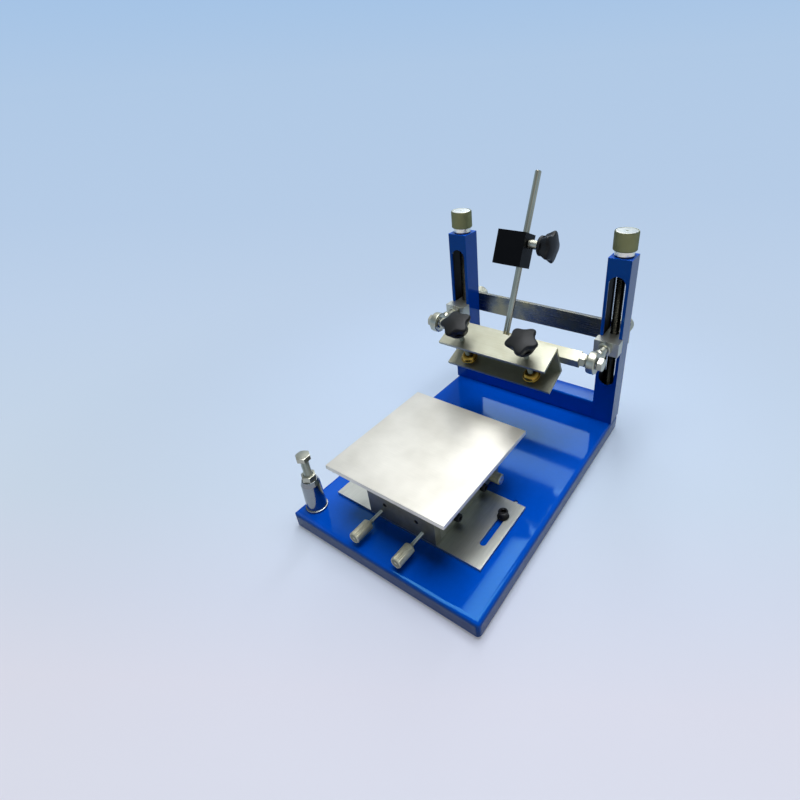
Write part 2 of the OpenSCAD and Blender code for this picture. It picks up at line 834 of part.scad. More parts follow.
// Rod end: ring across X with a ball socket, neck and threaded shank along Y
module rod_end(side) {
    shank_l = pivot_reach + shank_depth - neck_reach - slide_gap;
    socket_r = ball_d / 2 + fit;
    stalk_low = (socket_r + ring_d / 2) / 2;
    neck_low = neck_reach - ring_w / 2;
    on_base() translate([side * post_x, pivot_y, pivot_z]) {
        along_x() rotate_extrude() difference() {
            translate([0, -ring_w / 2]) square([ring_d / 2, ring_w]);
            circle(r = socket_r);
        }
        translate([0, stalk_low, 0]) along_y()
            cylinder(d = ring_w - 2 * free_gap, h = neck_reach - stalk_low);
        translate([0, neck_low, 0]) along_y() cylinder(d = neck_d, h = ring_w / 2);
        translate([0, neck_reach - cut, 0]) along_y() cylinder(d = m8_d, h = shank_l + cut);
    }
}

module left_rod_end() {
    color("silver") rod_end(-1);
}

module right_rod_end() {
    color("silver") rod_end(1);
}

// Hexagon nuts that lock the rod ends against the carriage heads
module rod_end_nuts() {
    color("silver") on_base() for (side = [-1, 1])
        translate([side * post_x, head_front - m8_nut_h, pivot_z]) along_y()
            hex_nut(m8_flats, m8_nut_h, m8_d + 2 * fit);
}

// Pivot bar, bored at both ends for the pivot bolts and on top for the rod
module pivot_bar() {
    color("lightgray") difference() {
        on_clamp() difference() {
            cube([pivot_bar_l, pivot_bar_d, pivot_bar_h], center = true);
            for (side = [-1, 1])
                translate([side * pivot_bar_l / 2, 0, 0]) along_x()
                    cylinder(d = m8_d + 2 * fit, h = 2 * (pivot_bolt_reach + cut), center = true);
            for (side = [-1, 1])
                translate([side * channel_screw_x, -bar_front - cut, 0]) along_y()
                    cylinder(d = m5_d + 2 * fit, h = bar_front + cut);
        }
        on_rod() translate([0, 0, -rod_down]) cylinder(d = rod_d + 2 * fit, h = pivot_bar_d * 2);
    }
}

// Hexagon bolts that run through the rod end balls into the pivot bar
module pivot_bolts() {
    bolt_l = post_x + ball_w / 2 - pivot_bar_l / 2 + pivot_bolt_reach;
    color("silver") on_clamp() for (side = [-1, 1])
        translate([side * (post_x + ball_w / 2), 0, 0]) rotate([0, side * 90, 0]) {
            hex_prism(m8_flats, m8_head_h);
            translate([0, 0, -bolt_l]) cylinder(d = m8_d, h = bolt_l + m8_head_h / 2);
        }
}

// Nuts and washers between the pivot bar's ends and the balls
module pivot_nuts() {
    color("silver") on_clamp() for (side = [-1, 1])
        translate([side * pivot_bar_l / 2, 0, 0]) rotate([0, side * 90, 0]) {
            hex_nut(m8_flats, m8_nut_h, m8_d + 2 * fit);
            translate([0, 0, m8_nut_h]) difference() {
                cylinder(d = m8_flats, h = m8_washer_t);
                translate([0, 0, -cut]) cylinder(d = m8_d + 2 * fit, h = m8_washer_t + 2 * cut);
            }
        }
}

// Balls of the rod ends, which turn with the pivot bolts
module rod_end_balls() {
    color("silver") on_clamp() for (side = [-1, 1])
        translate([side * post_x, 0, 0]) difference() {
            intersection() {
                sphere(d = ball_d);
                cube([ball_w, ball_d, ball_d], center = true);
            }
            translate([-ball_w, 0, 0]) along_x() cylinder(d = m8_d + 2 * fit, h = 2 * ball_w);
        }
}

// Clamp channel, open to the front, fixed to the front of the pivot bar
module clamp_channel() {
    color("gainsboro") on_clamp() translate([0, -bar_front, 0]) difference() {
        translate([-channel_l / 2, -channel_d, -channel_top]) cube([channel_l, channel_d, channel_h]);
        translate([-channel_l / 2 - cut, -channel_d - cut, -channel_top + channel_t])
            cube([channel_l + 2 * cut, channel_d - channel_t + cut, channel_h - 2 * channel_t]);
        for (side = [-1, 1])
            translate([side * clamp_screw_x, -clamp_screw_reach, channel_top - channel_t - cut])
                cylinder(d = star_stud_d + 2 * fit, h = channel_t + 2 * cut);
        for (side = [-1, 1])
            translate([side * channel_screw_x, -channel_t - cut, 0]) along_y()
                cylinder(d = m5_d + 2 * bolt_play, h = channel_t + 2 * cut);
    }
}

// Cap screws that hold the channel's back to the pivot bar
module channel_screws() {
    screw_l = channel_t + bar_front - min_wall;
    color("dimgray") on_clamp() for (side = [-1, 1])
        translate([side * channel_screw_x, -bar_front - channel_t, 0]) rotate([90, 0, 0])
            cap_screw(m5_d, m5_head_d, m5_head_h, screw_l);
}

// Places a piece on a clamp screw's axis, with Z along the screw
module on_clamp_screw(side) {
    on_clamp() translate([side * clamp_screw_x, clamp_screw_y, 0]) children();
}

// Domed clamp pad with a socket for the stud's tip
module clamp_pad(side) {
    crown_top_d = star_stud_d + 2 * pad_wall;
    on_clamp_screw(side) translate([0, 0, pad_foot]) difference() {
        union() {
            cylinder(d = pad_d, h = pad_rim_t);
            translate([0, 0, pad_rim_t])
                cylinder(d1 = pad_d - 2 * pad_step, d2 = crown_top_d, h = pad_crown_h);
        }
        translate([0, 0, pad_socket - pad_foot])
            cylinder(d = star_stud_d + 2 * fit, h = pad_rim_t + pad_crown_h);
    }
}

// Threaded stud from the pad's socket up into the star knob
module clamp_stud(side) {
    stud_top = star_foot + star_bore - slide_gap;
    on_clamp_screw(side) translate([0, 0, pad_socket + slide_gap])
        cylinder(d = star_stud_d, h = stud_top - pad_socket - slide_gap);
}

// Star knob of a clamp screw
module clamp_knob(side) {
    turn = side < 0 ? left_star_turn : right_star_turn;
    on_clamp_screw(side) translate([0, 0, star_foot]) rotate(turn) star_knob(star_d);
}

module left_clamp_pad() {
    color("goldenrod") clamp_pad(-1);
}

module right_clamp_pad() {
    color("goldenrod") clamp_pad(1);
}

module left_clamp_stud() {
    color("silver") clamp_stud(-1);
}

module right_clamp_stud() {
    color("silver") clamp_stud(1);
}

module left_clamp_knob() {
    color("black") clamp_knob(-1);
}

module right_clamp_knob() {
    color("black") clamp_knob(1);
}

// Straight rod that carries the counterweight
module counterweight_rod() {
    color("silver") on_rod() translate([0, 0, -rod_down + slide_gap])
        cylinder(d = rod_d, h = rod_l + rod_down);
}

// Counterweight block, bored for the rod and for its lock screw
module counterweight_block() {
    color("black") on_rod() difference() {
        translate([-weight_left, -weight_t / 2, weight_place]) cube([weight_w, weight_t, weight_h]);
        translate([0, 0, weight_place - cut]) cylinder(d = rod_d + 2 * fit, h = weight_h + 2 * cut);
        translate([0, 0, weight_screw_z]) along_x()
            cylinder(d = star_stud_d + 2 * fit, h = weight_edge + cut);
    }
}

// Lock stud that presses on the rod, with the collar under its star knob
module counterweight_stud() {
    stud_foot = rod_d / 2 + slide_gap;
    color("silver") on_rod() translate([0, 0, weight_screw_z]) along_x() {
        translate([0, 0, stud_foot])
            cylinder(d = star_stud_d, h = weight_star_x + star_bore - slide_gap - stud_foot);
        translate([0, 0, weight_edge + free_gap]) cylinder(d = weight_collar_d, h = weight_collar_l);
    }
}

// Star knob of the counterweight's lock screw
module counterweight_knob() {
    color("black") on_rod() translate([weight_star_x, 0, weight_screw_z]) along_x()
        rotate(weight_star_turn) star_knob(weight_star_d);
}

// Pillar that holds the frame rest bolt, bored through from the top
module rest_pillar() {
    color("silver") on_base() translate([rest_place_x, rest_y, 0]) difference() {
        union() {
            cylinder(d = rest_ring_d, h = rest_ring_h);
            cylinder(d1 = rest_low_d, d2 = rest_high_d, h = rest_shoulder_z);
            translate([0, 0, rest_shoulder_z])
                cylinder(d1 = rest_high_d, d2 = rest_top_d, h = rest_h - rest_shoulder_z);
        }
        translate([0, 0, rest_screw_up + min_wall]) cylinder(d = m8_d + 2 * fit, h = rest_h);
        translate([0, 0, -cut]) cylinder(d = m6_d + 2 * fit, h = rest_screw_up + cut);
    }
}

// Screw that holds the pillar from below the pan
module pillar_screw() {
    color("dimgray") on_base() translate([rest_place_x, rest_y, -pan_sheet]) mirror([0, 0, 1])
        cap_screw(m6_d, m6_head_d, m6_head_h, pan_sheet + rest_screw_up - slide_gap);
}

// Nut that locks the rest bolt on the pillar
module rest_lock_nut() {
    color("silver") on_base() translate([rest_place_x, rest_y, rest_h])
        hex_nut(m8_flats, m8_nut_h, m8_d + 2 * fit);
}

// Hexagon bolt whose head carries the front corner of the screen frame
module rest_bolt() {
    color("silver") on_base() translate([rest_place_x, rest_y, rest_head_low]) {
        hex_prism(m8_flats, m8_head_h);
        translate([0, 0, -rest_bolt_l]) cylinder(d = m8_d, h = rest_bolt_l + m8_head_h / 2);
    }
}

// Repeats a piece at the two bolts of the slide plate
module at_slide_bolts() {
    on_base() for (x = slide_bolt_x) translate([x, slide_bolt_y, 0]) children();
}

// Cap screws in the slots of the slide plate
module slide_bolts() {
    head_seat = plate_high + slide_gap + m6_washer_t;
    color("black") at_slide_bolts() translate([0, 0, head_seat])
        cap_screw(m6_d, m6_head_d, m6_head_h, head_seat + pan_sheet + m6_nut_h + thread_out);
}

// Washers between the slide plate and its bolts
module slide_washers() {
    color("dimgray") at_slide_bolts() translate([0, 0, plate_high + slide_gap]) difference() {
        cylinder(d = m6_washer_d, h = m6_washer_t);
        translate([0, 0, -cut]) cylinder(d = m6_d + 2 * fit, h = m6_washer_t + 2 * cut);
    }
}

// Nuts of the slide bolts under the pan
module slide_nuts() {
    color("silver") at_slide_bolts() translate([0, 0, -pan_sheet - m6_nut_h])
        hex_nut(m6_flats, m6_nut_h, m6_d + 2 * fit);
}

// Flat plate with a slot at each side for its bolts
module slide_plate() {
    color("lightgray") on_plate() translate([0, 0, plate_low]) difference() {
        translate([-plate_w / 2, plate_y, 0]) cube([plate_w, plate_l, plate_t]);
        for (side = [-1, 1])
            translate([side * plate_slot_x, slot_mid, -cut])
                linear_extrude(plate_t + 2 * cut) slot_outline(plate_slot_w, plate_slot_l);
    }
}

// Front bar of the stage, bored for the two adjusters and two stop screws
module stage_front_bar() {
    color("gainsboro") on_plate() difference() {
        translate([-stage_w / 2, stage_front, stage_low]) cube([stage_w, stage_bar_t, stage_h]);
        for (side = [-1, 1]) {
            translate([side * adjuster_gap / 2, stage_front - cut, adjuster_z]) along_y()
                cylinder(d = adjuster_d + 2 * fit, h = stage_bar_t + 2 * cut);
            translate([side * stage_stop_gap / 2, stage_front - cut, stage_stop_z]) along_y()
                cylinder(d = m5_d + 2 * fit, h = stage_bar_t + 2 * cut);
        }
    }
}

// Side rails of the stage, the right one bored for its lock screws and adjuster
module stage_rails() {
    rail_l = stage_l - 2 * stage_bar_t;
    color("gainsboro") on_plate() difference() {
        for (side = [-1, 1])
            translate([side * (stage_w / 2 - stage_rail_t / 2), stage_mid, stage_low + stage_h / 2])
                cube([stage_rail_t, rail_l, stage_h], center = true);
        for (end = [-1, 1])
            translate([rail_inner - cut, stage_mid + end * stage_lock_gap / 2, adjuster_z]) along_x()
                cylinder(d = m5_d + 2 * fit, h = stage_rail_t + 2 * cut);
        translate([rail_inner - cut, side_y, side_adjuster_z]) along_x()
            cylinder(d = adjuster_d + 2 * fit, h = stage_rail_t + 2 * cut);
    }
}

// Rear bar of the stage
module stage_rear_bar() {
    color("gainsboro") on_plate()
        translate([-stage_w / 2, stage_back - stage_bar_t, stage_low])
            cube([stage_w, stage_bar_t, stage_h]);
}

// Cap screws in the right rail that lock the cross slide
module stage_lock_screws() {
    color("black") on_plate() for (end = [-1, 1])
        translate([stage_w / 2, stage_mid + end * stage_lock_gap / 2, adjuster_z]) along_x()
            cap_screw(m5_d, m5_head_d, m5_head_h, stage_rail_t);
}

// Grub screws in the front bar that stop the stage's travel
module stage_stop_screws() {
    color("dimgray") on_plate() for (side = [-1, 1])
        translate([side * stage_stop_gap / 2, stage_front + slide_gap, stage_stop_z]) along_y()
            difference() {
                cylinder(d = m5_d, h = stage_bar_t - slide_gap);
                translate([0, 0, -cut]) hex_prism(m5_d / 2, stage_bar_t / 2);
            }
}

// Cross slide: floor between the rails, with a front wall that holds the adjusters
module cross_slide() {
    half = rail_inner - slide_gap * 2;
    color("lightgray") on_plate() difference() {
        union() {
            translate([-half, cross_front, cross_low])
                cube([2 * half, cross_back - cross_front, cross_floor_h]);
            translate([-half, cross_front, cross_low])
                cube([2 * half, cross_wall_t, cross_wall_high - cross_low]);
        }
        for (side = [-1, 1]) {
            translate([side * adjuster_gap / 2, cross_front - cut, adjuster_z]) along_y()
                cylinder(d = adjuster_pin_d + 2 * fit, h = cross_wall_t + 2 * cut);
            translate([side * adjuster_gap / 2, cross_wall_back, adjuster_z]) along_y()
                cylinder(d = clip_d + 2 * free_gap, h = clip_t + 2 * free_gap);
        }
        translate([-half - cut, stage_mid - key_w / 2, cross_floor - key_h])
            cube([2 * half + 2 * cut, key_w, key_h + cut]);
    }
}

// Front adjuster: knob, screw through the front bar, pin and clip in the cross slide
module front_adjuster(side) {
    knob_front = stage_front - adjuster_bare - adjuster_knob_l;
    pin_start = cross_front - slide_gap;
    pin_l = cross_wall_t + 2 * slide_gap + clip_t;
    on_plate() translate([side * adjuster_gap / 2, knob_front, adjuster_z]) along_y() {
        chamfered(adjuster_knob_d, adjuster_knob_l, knob_chamfer);
        translate([0, 0, adjuster_knob_l - cut])
            cylinder(d = adjuster_d, h = pin_start - knob_front - adjuster_knob_l + cut);
        translate([0, 0, pin_start - knob_front - cut]) cylinder(d = adjuster_pin_d, h = pin_l + cut);
        translate([0, 0, pin_start - knob_front + pin_l - clip_t]) cylinder(d = clip_d, h = clip_t);
    }
}

module left_adjuster() {
    color("silver") front_adjuster(-1);
}

module right_adjuster() {
    color("silver") front_adjuster(1);
}

// Stage block that slides across on the cross slide and carries the turntable's pin
module stage_block() {
    slot_h = thrust_pad_d + 2 * free_gap;
    color("gainsboro") on_plate() difference() {
        union() {
            translate([-block_half, block_front, block_low])
                cube([2 * block_half, block_back - block_front, block_high - block_low]);
            translate([-block_half, stage_mid - key_w / 2 + slide_gap, cross_floor - key_h + slide_gap])
                cube([2 * block_half, key_w - 2 * slide_gap, key_h + cut]);
            translate([0, stage_mid, block_high - cut])
                cylinder(d = turntable_pin_d, h = turntable_t - min_wall + cut);
        }
        translate([thrust_x - slide_gap, side_y - slot_h, side_adjuster_z - slot_h / 2])
            cube([thrust_pad_t + 2 * slide_gap, block_back - side_y + slot_h + cut, slot_h]);
        translate([thrust_x, side_y - slot_h, side_adjuster_z - thrust_neck_d / 2 - free_gap])
            cube([block_half, block_back - side_y + slot_h + cut, thrust_neck_d + 2 * free_gap]);
    }
}

// Round thrust pad that pulls and pushes the stage block, held in its slot
module side_thrust_pad() {
    neck_l = block_half + free_gap - thrust_x - thrust_pad_t;
    color("goldenrod") on_plate() translate([thrust_x, side_y, side_adjuster_z]) along_x() difference() {
        union() {
            cylinder(d = thrust_pad_d, h = thrust_pad_t);
            translate([0, 0, thrust_pad_t - cut]) cylinder(d = thrust_neck_d, h = neck_l + cut);
        }
        translate([0, 0, thrust_pad_t / 2])
            cylinder(d = adjuster_pin_d + 2 * fit, h = thrust_pad_t + neck_l + cut);
    }
}

// Side adjuster: knob and screw through the right rail, with its tip in the pad
module side_adjuster() {
    tip_x = thrust_x + thrust_pad_t / 2 + slide_gap;
    neck_x = block_half + free_gap + slide_gap;
    knob_x = stage_w / 2 + side_bare;
    color("silver") on_plate() translate([0, side_y, side_adjuster_z]) {
        translate([tip_x, 0, 0]) along_x() cylinder(d = adjuster_pin_d, h = neck_x - tip_x + cut);
        translate([neck_x, 0, 0]) along_x() cylinder(d = adjuster_d, h = knob_x - neck_x + cut);
        translate([knob_x, 0, 0]) along_x() chamfered(adjuster_knob_d, side_knob_l, knob_chamfer);
    }
}

// Turntable that turns on the stage block's pin
module turntable() {
    color("lightgray") on_plate() translate([0, stage_mid, turntable_low]) difference() {
        translate([-turntable_w / 2, -turntable_w / 2, 0]) cube([turntable_w, turntable_w, turntable_t]);
        translate([0, 0, -cut]) cylinder(d = turntable_pin_d + 2 * fit, h = turntable_t + 2 * cut);
    }
}

// Four round standoffs between the turntable and the platen
module standoffs() {
    color("silver") on_plate() for (x = [-1, 1], y = [-1, 1])
        translate([x * standoff_gap / 2, stage_mid + y * standoff_gap / 2, turntable_high])
            cylinder(d = standoff_d, h = platen_low - turntable_high);
}

// Flat printing platen
module platen() {
    color("whitesmoke") on_plate() translate([0, platen_mid, platen_low])
        linear_extrude(platen_t) round_rect(platen_w, platen_l, platen_corner_r);
}

base_pan();
rubber_feet();
foot_screws();
left_post();
right_post();
cross_tube();
top_bushes();
foot_bushes();
rest_pillar();
pillar_screw();
rest_lock_nut();
rest_bolt();
slide_bolts();
slide_washers();
slide_nuts();
left_lead_screw();
left_height_knob();
left_screw_collar();
right_lead_screw();
right_height_knob();
right_screw_collar();
left_carriage_block();
right_carriage_block();
rear_tie_bar();
left_rod_end();
right_rod_end();
rod_end_nuts();
left_lock_knob();
right_lock_knob();
pivot_bar();
pivot_bolts();
pivot_nuts();
rod_end_balls();
clamp_channel();
channel_screws();
left_clamp_pad();
left_clamp_stud();
left_clamp_knob();
right_clamp_pad();
right_clamp_stud();
right_clamp_knob();
counterweight_rod();
counterweight_block();
counterweight_stud();
counterweight_knob();
slide_plate();
stage_front_bar();
stage_rails();
stage_rear_bar();
stage_lock_screws();
stage_stop_screws();
cross_slide();
left_adjuster();
right_adjuster();
stage_block();
side_thrust_pad();
side_adjuster();
turntable();
standoffs();
platen();
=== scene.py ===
"""Looks of a tabletop screen printing press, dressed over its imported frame.

Each sub-assembly of the press is a class. Its fields are real sizes in millimetres, and its methods make the
meshes and give them their finish. Places come from the frame, so every piece sits where the frame says.
"""

import json
import logging
import math
from dataclasses import dataclass, replace
from enum import Enum
from typing import Callable, Sequence, Union

import bmesh
import bpy
from mathutils import Matrix, Vector

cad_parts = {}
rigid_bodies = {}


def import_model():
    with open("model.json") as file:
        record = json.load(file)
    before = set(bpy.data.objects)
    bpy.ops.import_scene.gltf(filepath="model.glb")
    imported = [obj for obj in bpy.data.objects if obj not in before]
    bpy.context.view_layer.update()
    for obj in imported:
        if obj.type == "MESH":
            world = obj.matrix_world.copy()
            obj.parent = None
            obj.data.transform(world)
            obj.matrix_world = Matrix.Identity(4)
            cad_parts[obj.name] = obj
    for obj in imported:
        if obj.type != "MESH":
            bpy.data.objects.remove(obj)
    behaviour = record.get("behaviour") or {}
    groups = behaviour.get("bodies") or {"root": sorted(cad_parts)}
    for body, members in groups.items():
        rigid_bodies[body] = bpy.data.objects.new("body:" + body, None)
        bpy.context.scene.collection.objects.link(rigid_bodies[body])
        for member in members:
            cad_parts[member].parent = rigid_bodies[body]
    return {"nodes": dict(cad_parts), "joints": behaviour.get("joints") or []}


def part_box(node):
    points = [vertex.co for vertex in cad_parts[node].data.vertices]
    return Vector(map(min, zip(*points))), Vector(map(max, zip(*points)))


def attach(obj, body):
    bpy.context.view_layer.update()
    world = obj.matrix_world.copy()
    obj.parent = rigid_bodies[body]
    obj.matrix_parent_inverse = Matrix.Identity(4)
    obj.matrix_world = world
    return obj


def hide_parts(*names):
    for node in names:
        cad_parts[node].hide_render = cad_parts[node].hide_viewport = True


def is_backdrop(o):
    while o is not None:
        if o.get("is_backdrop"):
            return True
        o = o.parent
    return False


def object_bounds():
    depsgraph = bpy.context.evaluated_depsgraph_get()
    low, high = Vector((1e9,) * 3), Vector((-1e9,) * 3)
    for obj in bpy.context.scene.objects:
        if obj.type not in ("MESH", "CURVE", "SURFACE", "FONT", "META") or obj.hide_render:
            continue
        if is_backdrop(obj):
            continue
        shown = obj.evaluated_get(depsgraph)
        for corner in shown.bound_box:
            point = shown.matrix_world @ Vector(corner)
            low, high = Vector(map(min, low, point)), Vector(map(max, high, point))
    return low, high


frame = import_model()
cad_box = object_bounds()

log = logging.getLogger("press")
MM = 0.001
RIGHT, BACK, UP = (Vector(way).freeze() for way in ((1, 0, 0), (0, 1, 0), (0, 0, 1)))
# Angles: above the first an edge is shaded sharp, above the second it is rounded, below the third it is no edge
SMOOTH_ANGLE, EDGE_ANGLE, FLAT_ANGLE = math.radians(32), math.radians(34), math.radians(0.6)
# Points nearer than this are one point, in metres
MERGE = 2e-6
# A direction's share along an axis from which an edge counts as running along it
ALONG = 0.99
# Where a hexagon's first corner lies, and the weight that keeps a flat face's own normal
HEX_CORNER, FLAT_WEIGHT = math.pi / 6, 100
# The sRGB curve: a straight foot up to the first, over the second, then a lifted power
SRGB_FOOT, SRGB_SLOPE, SRGB_LIFT, SRGB_POWER = 0.04045, 12.92, 0.055, 2.4
# Points around: large turned pieces, hexagons, small turned pieces, thin threads
FINE, HEX_FINE, SMALL_FINE, THREAD_FINE = 96, 72, 48, 36
# Rings that each turn of a thread or each knurl gets, and the share of its radius inside which no groove cuts
RINGS_PER_PITCH, CORE = 5, 0.9
# Straight grooves are helical ones whose step is this many times the knob's length, over fewer rings
STRAIGHT_PITCH, STRAIGHT_RINGS = 1000, 4
# Two solids of one piece lap over each other by this much, and a stud stops this far short of its bore's end
LAP, SHY = 0.3, 0.1
# Radii of the bores that M6 and M8 studs pass
M6_BORE, M8_BORE = 3.05, 4.1
# An edge or face this near a plane lies in it, in millimetres, and an edge that rises less than this share is level
NEAR, LEVEL = 0.1, 0.1
# Where the noises' values mostly lie, their steps of detail, and the smoothest that a finish gets
NOISE_LOW, NOISE_HIGH = 0.3, 0.7
GRAIN_DETAIL, PATCH_DETAIL = 4.0, 3.0
SMOOTHEST = 0.02
# The mix node's colour inputs and its colour output
MIX_FIRST, MIX_SECOND, MIX_COLOUR = 6, 7, 2
WHITE = "#FFFFFF"
# Daylight from a clear sky, as the windows bring it in
COOL_WHITE = "#F6F9FF"
Radius = Union[float, Callable[[float], float]]
Station = tuple[Radius, Radius]
Steps = tuple[tuple[float, float], ...]
Stops = Sequence[tuple[float, str]]
Input = Union[float, Sequence[float], bpy.types.NodeSocket]


class Brush(Enum):
    """Direction of a metal's brushing, as the pattern's scale along X, Y and Z."""

    ALONG_X = (0.03, 1.0, 1.0)
    ALONG_Y = (1.0, 0.03, 1.0)
    ALONG_Z = (1.0, 1.0, 0.03)
    NONE = (1.0, 1.0, 1.0)


class Side(Enum):
    """Left or right side of the press, as its sign along X."""

    LEFT = -1
    RIGHT = 1

    @property
    def word(self) -> str:
        """The side's name in node and piece names."""
        return self.name.lower()


def linear(code: str) -> tuple[float, float, float, float]:
    """Turns an sRGB hex colour into the linear colour that shaders use.

    Args:
        code: The colour as six hex digits after a hash sign.

    Returns:
        Linear red, green, blue and an alpha of 1.
    """
    channels = [int(code[i : i + 2], 16) / 255 for i in (1, 3, 5)]
    red, green, blue = (
        c / SRGB_SLOPE if c <= SRGB_FOOT else ((c + SRGB_LIFT) / (1 + SRGB_LIFT)) ** SRGB_POWER for c in channels
    )
    return (red, green, blue, 1.0)


def add_node(tree: bpy.types.NodeTree, kind: str, inputs: dict | None = None, **settings) -> bpy.types.Node:
    """Adds a node, sets its properties, and sets or links its inputs.

    Args:
        tree: The node tree.
        kind: The node's type name.
        inputs: Values or output sockets by input name or index.
        **settings: Properties of the node.

    Returns:
        The new node.
    """
    node = tree.nodes.new(kind)
    for name, value in settings.items():
        setattr(node, name, value)
    for key, value in (inputs or {}).items():
        if isinstance(value, bpy.types.NodeSocket):
            tree.links.new(value, node.inputs[key])
        else:
            node.inputs[key].default_value = value
    return node


def maths(tree: bpy.types.NodeTree, operation: str, first: Input, second: Input) -> bpy.types.NodeSocket:
    """Adds a node that works a number out of two."""
    return add_node(tree, "ShaderNodeMath", {0: first, 1: second}, operation=operation).outputs[0]


def mixed_colour(
    tree: bpy.types.NodeTree, first: Input, second: Input, share: Input, blend: str = "MIX"
) -> bpy.types.NodeSocket:
    """Adds a node that mixes two colours by a share, each a value or a socket."""
    inputs = {"Factor": share, MIX_FIRST: first, MIX_SECOND: second}
    return add_node(tree, "ShaderNodeMix", inputs, data_type="RGBA", blend_type=blend).outputs[MIX_COLOUR]


def ramped(tree: bpy.types.NodeTree, share: Input, stops: Stops) -> bpy.types.NodeSocket:
    """Adds a colour ramp.

    Args:
        tree: The node tree.
        share: The socket that it reads.
        stops: The place and colour of each stop.

    Returns:
        The colour.
    """
    ramp = add_node(tree, "ShaderNodeValToRGB", {"Fac": share})
    elements = ramp.color_ramp.elements
    while len(elements) < len(stops):
        elements.new(1.0)
    for element, (position, colour) in zip(elements, stops):
        element.position = position
        element.color = linear(colour)
    return ramp.outputs["Color"]


@dataclass(frozen=True)
class Finish:
    """A surface finish: what the eye sees of one material.

    grain_mm is the size of the grain or streaks, bump_mm their depth, and shade how much they darken the colour.
    patch is the colour of the slow, cloudy patches, patch_mm their size, and patches how far the colour goes
    towards it. spread is how much grain and patches together move the roughness. gloss_tint colours the gloss.
    """

    name: str
    slot: str
    colour: str
    patch: str
    roughness: float
    grain_mm: float
    bump_mm: float = 0.004
    metallic: float = 1.0
    shade: float = 0.1
    spread: float = 0.06
    patches: float = 0.6
    patch_mm: float = 30.0
    brush: Brush = Brush.NONE
    gloss: float = 0.5
    gloss_tint: str = WHITE

    def build(self, tilt: float = 0.0) -> bpy.types.Material:
        """Makes the node material, or returns it if it was made before.

        Args:
            tilt: Turn of the brushing about X, in radians.

        Returns:
            The material, with its pattern read from Object coordinates.
        """
        name = f"{self.name}_{round(math.degrees(tilt))}"
        if name in bpy.data.materials:
            return bpy.data.materials[name]
        material = bpy.data.materials.new(name)
        material.use_nodes = True
        tree = material.node_tree
        shader = tree.nodes["Principled BSDF"]
        shader.inputs["Metallic"].default_value = self.metallic
        shader.inputs["Specular IOR Level"].default_value = self.gloss
        shader.inputs["Specular Tint"].default_value = linear(self.gloss_tint)
        place = add_node(tree, "ShaderNodeTexCoord").outputs["Object"]
        turned = add_node(tree, "ShaderNodeMapping", {"Vector": place, "Rotation": (-tilt, 0.0, 0.0)}).outputs[0]
        brushed = add_node(tree, "ShaderNodeMapping", {"Vector": turned, "Scale": self.brush.value}).outputs[0]
        grain, cloud = (
            add_node(
                tree, "ShaderNodeTexNoise", {"Vector": where, "Scale": 1 / (size * MM), "Detail": detail}
            ).outputs["Fac"]
            for where, size, detail in ((brushed, self.grain_mm, GRAIN_DETAIL), (place, self.patch_mm, PATCH_DETAIL))
        )
        both = maths(tree, "ADD", grain, cloud)
        low, high = max(SMOOTHEST, self.roughness - self.spread), min(1.0, self.roughness + self.spread)
        tone, share, rough = (
            add_node(
                tree,
                "ShaderNodeMapRange",
                {"Value": value, "From Min": NOISE_LOW * n, "From Max": NOISE_HIGH * n, "To Min": start, "To Max": end},
            ).outputs[0]
            for value, n, start, end in (
                (grain, 1, 1 - self.shade, 1.0), (cloud, 1, 0.0, self.patches), (both, 2, low, high)
            )
        )
        patched = mixed_colour(tree, linear(self.colour), linear(self.patch), share)
        tree.links.new(mixed_colour(tree, patched, tone, 1.0, "MULTIPLY"), shader.inputs["Base Color"])
        tree.links.new(rough, shader.inputs["Roughness"])
        bump = add_node(tree, "ShaderNodeBump", {"Height": grain, "Distance": self.bump_mm * MM})
        tree.links.new(bump.outputs[0], shader.inputs["Normal"])
        return material


# Gloss enamel sprayed over folded steel: deep colour, sharp bluish highlights, a faint orange peel
ENAMEL = Finish(
    "blue_gloss_enamel", "blue_enamel", "#0050C4", "#0046B0", metallic=0.0, roughness=0.08, grain_mm=4.0,
    shade=0.06, spread=0.03, patches=0.5, patch_mm=60.0, gloss=0.25, gloss_tint="#80E8FF",
)
# Brushed aluminium: pale warm grey with fine streaks along one direction, handled and a little uneven
BRUSHED_X = Finish(
    "aluminium_brushed_across", "aluminium", "#B5B4A1", "#9D9B85", roughness=0.48, grain_mm=0.6, bump_mm=0.008,
    shade=0.14, brush=Brush.ALONG_X,
)
BRUSHED_Y = Finish(
    "aluminium_brushed_along", "aluminium", "#D2D2C8", "#B4B5A9", roughness=0.38, grain_mm=0.6, bump_mm=0.008,
    shade=0.14, brush=Brush.ALONG_Y,
)
# Milled aluminium blocks: a little duller, with no clear direction
MILLED = Finish(
    "aluminium_milled", "aluminium", "#C6C6BA", "#ABAC9F", roughness=0.44, grain_mm=0.8, bump_mm=0.006, shade=0.14,
)
# The stage's front bar: aluminium painted darker and warmer, with darker patches, as painted shade under the platen's
# edge
SHADE_UNDER_PLATEN = Finish(
    "aluminium_soiled", "aluminium", "#A8A490", "#7A7564", roughness=0.5, grain_mm=0.8, bump_mm=0.006, shade=0.16,
    patch_mm=14.0,
)
# The platen: bright finely brushed aluminium that mirrors light softly, with soft, darker warm patches that are painted
# shading of its face
PLATEN = Finish(
    "platen_brushed_aluminium", "platen_aluminium", "#EAE5D8", "#B7B1A2", roughness=0.34, grain_mm=0.5, shade=0.06,
    spread=0.05, patches=0.55, patch_mm=48.0, brush=Brush.ALONG_X,
)
